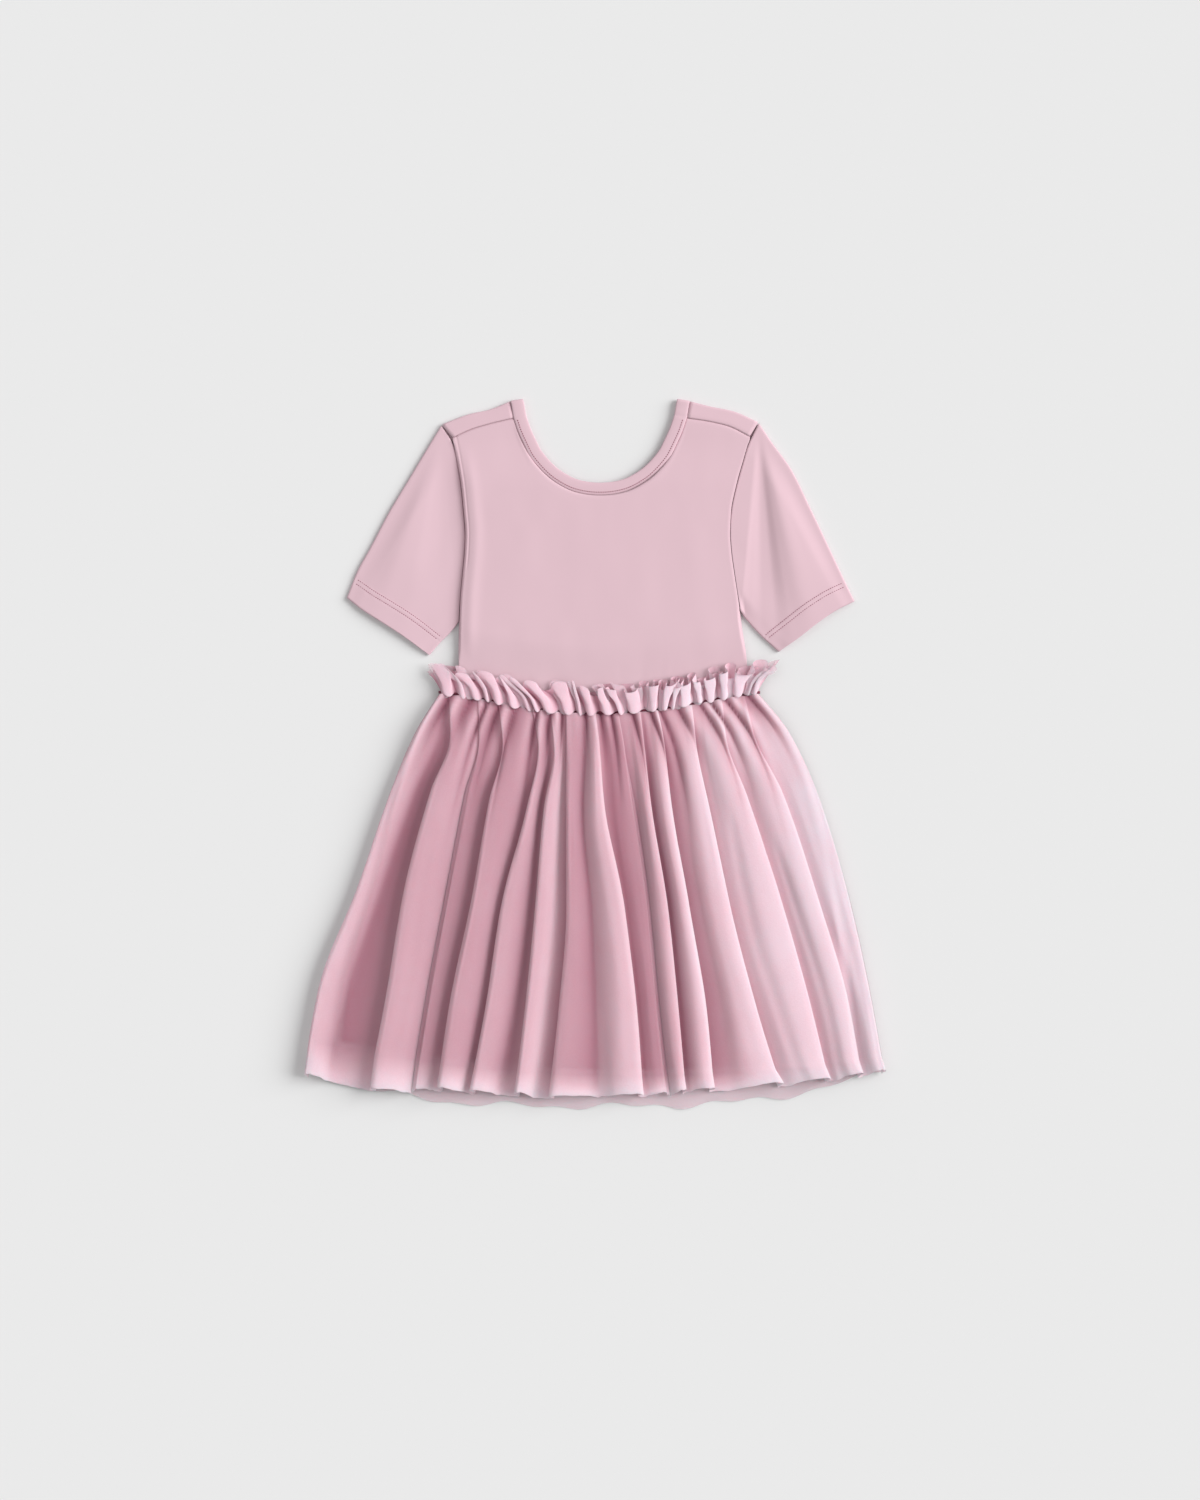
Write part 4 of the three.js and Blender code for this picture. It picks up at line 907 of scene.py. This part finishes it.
def tulle_base(x, down):
    """Height of the front tulle's valleys: on the lining, and lower past its sides and its hem."""
    inset = mix(LINING_INSET_TOP, LINING_INSET_HEM, down)
    left, right = silhouette(down[:, 0])
    past = np.maximum(left[:, None] + inset - x, x - (right[:, None] - inset))
    past_side = smooth_step(SIDE_CLEARANCE, SIDE_CLEARANCE + SIDE_SLOPE, past)
    return mix(FRONT_TULLE_LEVEL, FRONT_TULLE_LOW_LEVEL, np.maximum(past_side, past_lining_hem(down)))


def tulle_front_sheet(fold_height, rows=120, steps=4):
    """The front tulle. Each fold is its profile, scaled to its width and height, leaning left on the
    left half and right on the right half, and a B-spline runs smoothly through all the folds of a row.
    Pinches, creases and fine streaks are added to the heights. At the waist the folds give way to
    narrow tubes, the sine's size to the power 0.6, unevenly wide, that fade out down the skirt, with
    painted shade in the creases between them. Past the lining's hem the net is painted paler, as painted
    light, and covers less. Returns the sheet, the net's layering at each point with its painted light
    and shade, and how much of what lies below it is covered."""
    down = np.linspace(0, 1, rows)[:, None] ** 0.9
    sides = fold_sides(down[:, 0])
    left, span = sides[:, :-1], np.diff(sides, axis=1)
    growth = table_curve(FOLD_GROWTH["down"], FOLD_GROWTH["height"])(down)
    lean = table_curve(FOLD_GROWTH["down"], FOLD_GROWTH["lean"])(down)
    open_share = np.stack([table_curve((0.1, 0.5, 1), values)(down[:, 0]) for values in zip(
        fold_column("open_top"), fold_column("open_middle"), fold_column("open_hem"))], axis=-1)[:, :-1]
    width = span * (1 - open_share)
    height = fold_column("height")[None, :-1] * growth * fold_height
    under = fold_column("under")[None, :-1] * lean
    offset = FOLD_PROFILE["across"] * width[..., None] + FOLD_PROFILE["under"] * under[..., None]
    leans_right = (np.arange(width.shape[1]) >= FOLDS_LEANING_LEFT)[None, :, None]
    x = np.where(leans_right, (left + width)[..., None] - offset[..., ::-1], left[..., None] + offset)
    turned = lambda column: np.where(leans_right, FOLD_PROFILE[column][::-1], FOLD_PROFILE[column])
    # Painted light along each fold's edge, painted shade where it tucks under and towards its far side
    rise, edge_density_and_painted_light = turned("up"), turned("dense")
    dense = mix(fold_column("far_side_density_and_painted_light")[None, :-1, None], fold_column("dense")[None, :-1, None], edge_density_and_painted_light)
    up = rise * height[..., None]
    share = np.clip((x - left[..., None]) / span[..., None], 0, 1)
    hem = fold_column("hem_y")
    hem_y = mix(hem[None, :-1, None], hem[None, 1:, None], share) - FRONT_HEM_VALLEY_DROP * (1 - rise)
    flat = lambda grid: np.broadcast_to(grid, x.shape).reshape(rows, -1)
    weights = cubic_weights(flat(x).shape[1], steps)
    cover = mix(fold_column("cover")[None, :-1, None], fold_column("cover")[None, 1:, None], share)
    grids = (x, up, hem_y, rise, dense, cover)
    x, up, hem_y, rise, dense, cover = (flat(grid) @ weights.T for grid in grids)
    way = np.linspace(0, len(FOLD_NAMES) - 1, x.shape[1])[None, :]
    for fold, at, starts, ends, breadth, depth in CREASES:
        middle = FOLD_NAMES.index(fold) + at
        middle = middle + 0.02 * np.sin(down * 9 + middle)
        reach = smooth_step(starts - 0.06, starts + 0.06, down)
        reach = reach * (1 - smooth_step(ends - 0.08, ends + 0.08, down))
        up = up - depth * reach * np.exp(-((way - middle) / breadth) ** 2)
    place = (x - sides[:, :1]) / (sides[:, -1:] - sides[:, :1])
    pleat = np.pi * (GATHER_TUBES * place + 0.22 * np.sin(place * 37) + 0.09 * np.sin(place * 83))
    fading = np.exp(-(down / (GATHER_FADE + 0.06 * value_noise(place * 19, place * 0, 14))) ** 1.5)
    tube = GATHER_LOW + (1 - GATHER_LOW) * np.abs(np.sin(pleat)) ** 0.6
    streaks = 0.35 * value_noise(way * 9 + down * 0, down * 3.2, 11)
    streaks = streaks + 0.2 * value_noise(way * 23, down * 6, 12)
    up = np.maximum(up + streaks * smooth_step(0, 0.5, rise), 0)
    up = mix(up, (0.6 * up + GATHER_HEIGHT) * tube, fading)
    lining_end = lining_hem_y(x) - HEM_CLEARANCE
    top = waist_y(x) - GATHER_TOP_DROP + GATHER_TOP_RISE * tube
    upper_part = mix(top, lining_end, np.minimum(down, LINING_HEM_DOWN) / LINING_HEM_DOWN)
    past_hem = past_lining_hem(down)
    y = mix(upper_part, hem_y, past_hem) + past_hem * 0.8 * value_noise(way * 14, down * 2, 13)
    gathered = mix(0.45, 1, smooth_step(-0.01, 0.025, down))
    z = tulle_base(x, down) + up * gathered - 0.4 * np.exp(-down / 0.01)
    # Painted shade in the creases between the tubes at the waist
    dense = mix(dense, (0.35 + 0.65 * dense) * tube ** 2.2, fading)
    # Painted light past the lining's hem: the net turns paler there
    dense = mix(dense, HEM_PAINTED_LIGHT, 0.9 * past_hem)
    cover = mix(LEAST_COVER, MOST_COVER, np.minimum(dense, 1)) * cover * (1 - HEM_COVER_LOSS * past_hem)
    return np.stack(np.broadcast_arrays(x, y, z), axis=-1), dense, cover


def skirt_layer(columns, rows, inset_top, inset_hem, top_y, hem_y, level_of):
    """A plain layer of the skirt from the waist to a hem, moved in from the skirt's sides: straight
    lines from side to side, and from the top's height on the table to the hem's. level_of gives its
    height along a line."""
    down = np.linspace(0, 1, rows)[:, None]
    along = np.linspace(0, 1, columns)[None, :]
    inset = mix(inset_top, inset_hem, down)
    left, right = silhouette(down[:, 0])
    x = mix(left[:, None] + inset, right[:, None] - inset, along)
    y = mix(top_y(x), hem_y(x), down)
    return np.stack(np.broadcast_arrays(x, y, level_of(along)), axis=-1)


def stitch_object(name, path, pitch, radius):
    """Stitches along a path: capsules with six sides, one every pitch, each turned to lie along the
    path."""
    walked = walked_along(path)
    centres = np.arange(pitch / 2, walked[-1], pitch)
    at = lambda where: np.stack([np.interp(where, walked, path[:, axis]) for axis in range(3)], axis=-1)
    middle = at(centres)
    ahead = at(centres + 0.4) - at(centres - 0.4)
    ahead /= np.linalg.norm(ahead, axis=1)[:, None]
    beside = np.cross(ahead, (0, 0, 1))
    beside /= np.linalg.norm(beside, axis=1)[:, None]
    above = np.cross(beside, ahead)
    turn = np.radians(np.arange(STITCH_SIDES) * 360 / STITCH_SIDES)
    around = (beside[:, None, None] * np.cos(turn)[None, None, :, None]
              + above[:, None, None] * np.sin(turn)[None, None, :, None])
    rings = len(STITCH_RINGS["along"])
    along = (STITCH_RINGS["along"] * STITCH_LENGTH)[:, None, None]
    size = (STITCH_RINGS["size"] * radius)[:, None, None]
    points = middle[:, None, None] + ahead[:, None, None] * along + around * size
    ids = np.arange(rings * STITCH_SIDES).reshape(rings, STITCH_SIDES)
    after = np.roll(ids, -1, axis=1)
    sides = np.stack((ids[:-1], after[:-1], after[1:], ids[1:]), axis=-1).reshape(-1, 4)[:, ::-1]
    start = (np.arange(len(centres)) * ids.size)[:, None, None]
    faces = (sides[None] + start).reshape(-1, 4).tolist()
    faces += (ids[0][None] + start[:, 0]).tolist() + (ids[-1][::-1][None] + start[:, 0]).tolist()
    return mesh_object(name, (points.reshape(-1, 3) - BOX_MIDDLE) * MM, faces)


# Materials

def set_inputs(tree, node, inputs):
    """Gives each named input of a node its value, or links the output that feeds it."""
    for name, value in inputs.items():
        if isinstance(value, bpy.types.NodeSocket):
            tree.links.new(value, node.inputs[name])
        else:
            node.inputs[name].default_value = value


def add_node(tree, kind, inputs, **settings):
    """Adds a shader node with its settings, and then its inputs."""
    node = tree.nodes.new("ShaderNode" + kind)
    for name, value in settings.items():
        setattr(node, name, value)
    set_inputs(tree, node, inputs)
    return node


def cloth_grain_group():
    """Cloth grain: fine noise for the surface's height, and for its tint that noise on a slow drift."""
    if "cloth_grain" in bpy.data.node_groups:
        return bpy.data.node_groups["cloth_grain"]
    group = bpy.data.node_groups.new("cloth_grain", "ShaderNodeTree")
    for name, way, kind in (("Vector", "INPUT", "Vector"), ("Threads per metre", "INPUT", "Float"),
                            ("Drift scale", "INPUT", "Float"), ("Height", "OUTPUT", "Float"),
                            ("Tint", "OUTPUT", "Float")):
        group.interface.new_socket(name, in_out=way, socket_type="NodeSocket" + kind)
    given, result = group.nodes.new("NodeGroupInput").outputs, group.nodes.new("NodeGroupOutput")
    fine = add_node(group, "TexNoise", {
        "Vector": given["Vector"], "Scale": given["Threads per metre"], "Detail": 1.5})
    drift = add_node(group, "TexNoise", {
        "Vector": given["Vector"], "Scale": given["Drift scale"], "Detail": 3})
    blend = add_node(group, "Mix", {"Factor": 0.35, "A": drift.outputs["Fac"], "B": fine.outputs["Fac"]})
    set_inputs(group, result, {"Height": fine.outputs["Fac"], "Tint": blend.outputs["Result"]})
    return group


def cloth_material(name):
    """The named cloth, made the first time it is asked for. Its colour runs from the deeper to the
    lighter one with the grain. On a net the deeper colour is painted shade, and the colour also runs with
    the values of the piece's points, which paint light and shade on the net as well as its layering: above
    1 they go on past the lighter colour towards white, as painted light, and the points say how much it
    covers. The glow lets light spread inside the cloth and turns its normals towards straight up by
    that share, which evens out its shading."""
    if name in bpy.data.materials:
        return bpy.data.materials[name]
    cloth = dict(zip(CLOTH_COLUMNS, CLOTHS[name]))
    colours = bpy.context.scene.dress_colours
    light = (*getattr(colours, cloth["colour"]), 1)
    deep = (*(channel * cloth["deep_share"] for channel in getattr(colours, cloth["deep"])), 1)
    material = bpy.data.materials.new(name)
    material.use_nodes = True
    tree = material.node_tree
    finish = {"Roughness": cloth["roughness"], "Sheen Weight": cloth["sheen"],
              "Sheen Roughness": SHEEN_ROUGHNESS, "Specular IOR Level": CLOTH_SPECULAR,
              "Alpha": cloth["cover"]}
    place = add_node(tree, "TexCoord", {})
    grain = add_node(tree, "Group", {
        "Vector": place.outputs["Object"], "Threads per metre": cloth["threads"],
        "Drift scale": DRIFT_SCALE}, node_tree=cloth_grain_group())
    spread = add_node(tree, "MapRange", {
        "Value": grain.outputs["Tint"], "From Min": GRAIN_RANGE[0], "From Max": GRAIN_RANGE[1],
        "To Min": NET_GRAIN_LOW if cloth["is_net"] else 0})
    factor = spread.outputs["Result"]
    if cloth["is_net"]:
        # The points' values paint light and shade on the net and give its cover
        read_density_and_painted_light, cover = (add_node(tree, "Attribute", {}, attribute_name=value).outputs["Fac"]
                          for value in ("net_density", "net_cover"))
        factor = add_node(tree, "Math", {0: read_density_and_painted_light, 1: factor}, operation="MULTIPLY").outputs["Value"]
        finish["Alpha"] = cover
    tint = add_node(tree, "Mix", {"A": deep, "B": light, "Factor": factor}, data_type="RGBA",
                    clamp_factor=not cloth["is_net"], clamp_result=cloth["is_net"])
    relief = {"Strength": cloth["bump"], "Distance": GRAIN_DEPTH, "Height": grain.outputs["Height"]}
    if cloth["glow"]:
        finish.update({"Subsurface Weight": cloth["glow"], "Subsurface Radius": GLOW_RADIUS,
                       "Subsurface Scale": GLOW_DEPTH})
        facing = add_node(tree, "NewGeometry", {})
        evened = add_node(tree, "Mix", {
            "Factor": cloth["glow"], "A": facing.outputs["Normal"], "B": (0, 0, 1)}, data_type="VECTOR")
        relief["Normal"] = evened.outputs["Result"]
    finish["Base Color"] = tint.outputs["Result"]
    finish["Normal"] = add_node(tree, "Bump", relief).outputs["Normal"]
    set_inputs(tree, tree.nodes["Principled BSDF"], finish)
    return material


def colour_property(name, description, default):
    """A colour that a user may change."""
    return bpy.props.FloatVectorProperty(name=name, description=description, default=default,
                                         subtype="COLOR", size=3, min=0, max=1)


def length_property(name, description, default, least, most):
    """A length in millimetres that a user may change."""
    return bpy.props.FloatProperty(name=name, description=description + ", mm", default=default,
                                   min=least, max=most)


class DressSizes(bpy.types.PropertyGroup):
    """Sizes that a user may want to change, in millimetres of the dress."""

    jersey_wall: length_property("Jersey", "Thickness of the jersey", 1.0, 0.4, 2)
    band_wall: length_property("Neck band", "Thickness of the folded neck band", 1.7, 0.8, 2.5)
    band_width: length_property("Band width", "Width of the neck band", 11.2, 6, 16)
    ruffle_height: length_property("Heading", "Height of the heading above the waist seam", 25, 10, 30)
    ruffle_crest: length_property("Heading waves", "How far the heading's waves stand up", 8.5, 2, 12)
    gather_width: length_property("Elastic", "Width of the gathering elastic", 2.4, 1, 5)
    stitch_pitch: length_property("Stitch pitch", "From one stitch to the next", 2.1, 1.5, 5)
    fold_height: bpy.props.FloatProperty(
        name="Fold height", description="Height of the skirt's folds beside the photo's", default=1.0,
        min=0.3, max=1.2, subtype="FACTOR")


class DressColours(bpy.types.PropertyGroup):
    """Colours of the cloths."""

    jersey: colour_property("Jersey", "Dusty pink jersey", (0.72, 0.43, 0.5))
    jersey_deep: colour_property("Jersey, deep", "Jersey where its knit is darker", (0.66, 0.37, 0.44))
    tulle: colour_property("Tulle", "Net of the skirt on its folds", (1.0, 0.71, 0.79))
    # Painted shade: the skirt's net in its valleys, under its fold edges and on their far sides
    tulle_painted_shade: colour_property("Tulle, deep", "Net of the skirt in its valleys", (0.56, 0.18, 0.27))
    ruffle: colour_property("Heading", "Net of the heading", (1.0, 0.71, 0.8))
    # Painted shade: the heading's net in the hollows between its petals
    ruffle_painted_shade: colour_property("Heading, deep", "Net of the heading in its valleys", (0.66, 0.3, 0.39))
    lining: colour_property("Lining", "Knit lining", (0.34, 0.12, 0.17))
    # Painted shade: the elastic's near-black colour stands for the shadow along the waist seam
    gather: colour_property("Elastic", "Gathering elastic in the seam", (0.2, 0.05, 0.08))
    stitch: colour_property("Thread", "Sewing thread", (0.34, 0.12, 0.17))
    floor: colour_property("Floor", "Pale floor", (0.8, 0.8, 0.8))


class MakeBodice(bpy.types.Operator):
    """Makes the front and back panels of the bodice."""

    bl_idname = "dress.make_bodice"
    bl_label = "Bodice"

    def execute(self, context):
        wall = context.scene.dress_sizes.jersey_wall
        front = cloth_object("bodice_front_cloth", bodice_front_sheet(), wall)
        place_piece(front, "bodice_front", "jersey")
        sheet, keep = bodice_back_sheet()
        back = cloth_object("bodice_back_cloth", sheet, wall, keep=keep)
        place_piece(back, "bodice_back", "jersey")
        return {"FINISHED"}


class MakeNeckBand(bpy.types.Operator):
    """Makes the folded band round the neck and its row of stitches."""

    bl_idname = "dress.make_neck_band"
    bl_label = "Neck band"

    def execute(self, context):
        sizes = context.scene.dress_sizes
        band = cloth_object("neckband_cloth", neckband_sheet(sizes.band_width), sizes.band_wall, ring=True)
        place_piece(band, "neckband", "jersey")
        scoop = neck_seam(1, 1)(np.linspace(0.01, 0.99, 400))
        row = band_rows(scoop, sizes.band_width, SHOULDER_LEVEL, BAND_CROWN)[:, 2]
        row[:, 2] += sizes.band_wall / 2
        stitches = stitch_object("neck_stitches", row, sizes.stitch_pitch, NECK_STITCH_RADIUS)
        place_piece(stitches, None, "thread")
        return {"FINISHED"}


class MakeSleeves(bpy.types.Operator):
    """Makes both sleeves with the two rows of stitches of each hem."""

    bl_idname = "dress.make_sleeves"
    bl_label = "Sleeves"

    def execute(self, context):
        sizes = context.scene.dress_sizes
        for name, outline, rise, side in (("sleeve_left", LEFT_SLEEVE, LEFT_SLEEVE_RISE, -1),
                                          ("sleeve_right", RIGHT_SLEEVE, RIGHT_SLEEVE_RISE, 1)):
            shape = SleeveShape(outline, rise, side)
            piece = cloth_object(name + "_cloth", sleeve_sheet(shape), sizes.jersey_wall, tube=True)
            place_piece(piece, name, "jersey")
            across = np.linspace(0.03, 0.97, 300)
            length = mix(shape.outer.length, shape.inner.length, across)
            for row, distance in enumerate(SLEEVE_STITCH_ROWS):
                along = 1 - distance / length
                level = JERSEY / 2 + sizes.jersey_wall / 2 + shape.upper_level(along, across)
                path = np.concatenate((shape.spot(along, across), level[:, None]), axis=1)
                stitches = stitch_object(
                    f"{name}_stitches_{row + 1}", path, sizes.stitch_pitch, SLEEVE_STITCH_RADIUS)
                place_piece(stitches, None, "thread")
        return {"FINISHED"}


class MakeHeading(bpy.types.Operator):
    """Makes the gathered heading in front and behind, and the elastic below it."""

    bl_idname = "dress.make_heading"
    bl_label = "Heading and elastic"

    def execute(self, context):
        sizes = context.scene.dress_sizes
        for name, node, height, crest, waves, seed, level, seen in HEADING_LAYERS:
            sheet, dense, cover = ruffle_sheet(
                sizes.ruffle_height + height, sizes.ruffle_crest + crest, waves, seed,
                FRONT_TULLE_LEVEL + level)
            layer = cloth_object(name, sheet)
            net_values(layer, dense, cover * seen)
            place_piece(layer, node, "heading_net")
        back = cloth_object("ruffle_back_cloth", ruffle_back_sheet(sizes.ruffle_height))
        net_values(back, BACK_HEADING_DENSITY, BACK_HEADING_COVER)
        place_piece(back, "ruffle_back", "heading_net")
        elastic = cloth_object(
            "waist_gather_cloth", gather_sheet(sizes.gather_width), ELASTIC_WALL, ring=True)
        place_piece(elastic, "waist_gather", "elastic")
        return {"FINISHED"}


class MakeSkirt(bpy.types.Operator):
    """Makes the front and back of the tulle skirt."""

    bl_idname = "dress.make_skirt"
    bl_label = "Tulle skirt"

    def execute(self, context):
        sheet, dense, cover = tulle_front_sheet(context.scene.dress_sizes.fold_height)
        front = cloth_object("skirt_tulle_front_cloth", sheet)
        net_values(front, dense, cover)
        place_piece(front, "skirt_tulle_front", "skirt_net")
        back = cloth_object("skirt_tulle_back_cloth", skirt_layer(
            BACK_TULLE_RIPPLES * BACK_TULLE_STEPS + 1, BACK_TULLE_ROWS, BACK_TULLE_INSET, BACK_TULLE_INSET,
            skirt_top_y, back_hem_y, back_tulle_level))
        place_piece(back, "skirt_tulle_back", "skirt_back_net")
        return {"FINISHED"}


class MakeLining(bpy.types.Operator):
    """Makes the front and back of the lining skirt."""

    bl_idname = "dress.make_lining"
    bl_label = "Lining"

    def execute(self, context):
        for name, level in (("lining_front", FRONT_LINING_LEVEL), ("lining_back", BACK_LINING_LEVEL)):
            sheet = skirt_layer(*LINING_GRID, LINING_INSET_TOP, LINING_INSET_HEM, lining_top_y, lining_hem_y,
                                lambda along: level)
            piece = cloth_object(name + "_cloth", sheet, LINING_WALL)
            place_piece(piece, name, "lining_knit")
        return {"FINISHED"}


class MakeStage(bpy.types.Operator):
    """Makes the pale floor, the studio light and the camera."""

    bl_idname = "dress.make_stage"
    bl_label = "Floor, light and camera"

    def execute(self, context):
        scene = context.scene
        mesh = bpy.data.meshes.new("floor")
        mesh.from_pydata([(x * FLOOR_HALF, y * FLOOR_HALF, FLOOR_LEVEL)
                          for x, y in ((-1, -1), (1, -1), (1, 1), (-1, 1))], [], [(0, 1, 2, 3)])
        floor = scene_object("floor", mesh)
        paint = bpy.data.materials.new("floor")
        paint.use_nodes = True
        set_inputs(paint.node_tree, paint.node_tree.nodes["Principled BSDF"], {
            "Base Color": (*scene.dress_colours.floor, 1), "Roughness": FLOOR_ROUGHNESS,
            "Specular IOR Level": FLOOR_SPECULAR})
        floor.data.materials.append(paint)

        for name, toward, width, strength in WINDOWS:
            lamp = bpy.data.lights.new(name, "SUN")
            lamp.angle = width
            lamp.energy = strength
            holder = scene_object(name, lamp)
            holder.location = toward
            holder.rotation_euler = Vector(toward).to_track_quat("Z", "Y").to_euler()

        world = bpy.data.worlds.new("studio")
        world.use_nodes = True
        set_inputs(world.node_tree, world.node_tree.nodes["Background"], {
            "Color": (1, 1, 1, 1), "Strength": ROOM_LIGHT})
        scene.world = world

        lens = bpy.data.cameras.new("camera")
        lens.sensor_fit = "VERTICAL"
        lens.sensor_height = SENSOR_HEIGHT
        lens.lens = SENSOR_HEIGHT * CAMERA_HEIGHT / PHOTO_HEIGHT
        lens.clip_end = CAMERA_REACH
        camera = scene_object("camera", lens)
        camera.location = (*PHOTO_MIDDLE, CAMERA_HEIGHT)
        scene.camera = camera
        scene.view_settings.view_transform = "Standard"
        scene.cycles.transparent_max_bounces = NET_LAYERS_SEEN
        return {"FINISHED"}


class DressPanel(bpy.types.Panel):
    """Lists the dress's pieces, sizes and colours."""

    bl_idname = "VIEW3D_PT_dress"
    bl_label = "Tutu dress"
    bl_space_type = "VIEW_3D"
    bl_region_type = "UI"
    bl_category = "Dress"

    def draw(self, context):
        for operator in OPERATORS:
            self.layout.operator(operator.bl_idname)
        for group in (context.scene.dress_sizes, context.scene.dress_colours):
            box = self.layout.box()
            for key in type(group).__annotations__:
                box.prop(group, key)


OPERATORS = (MakeStage, MakeLining, MakeSkirt, MakeBodice, MakeSleeves, MakeNeckBand, MakeHeading)
CLASSES = (DressSizes, DressColours, *OPERATORS, DressPanel)


def register():
    for each in CLASSES:
        bpy.utils.register_class(each)
    bpy.types.Scene.dress_sizes = bpy.props.PointerProperty(type=DressSizes)
    bpy.types.Scene.dress_colours = bpy.props.PointerProperty(type=DressColours)


def unregister():
    del bpy.types.Scene.dress_sizes
    del bpy.types.Scene.dress_colours
    for each in reversed(CLASSES):
        bpy.utils.unregister_class(each)


def make_dress():
    register()
    bpy.ops.dress.make_stage()
    bpy.ops.dress.make_lining()
    bpy.ops.dress.make_skirt()
    bpy.ops.dress.make_bodice()
    bpy.ops.dress.make_sleeves()
    bpy.ops.dress.make_neck_band()
    bpy.ops.dress.make_heading()


if __name__ == "__main__":
    make_dress()
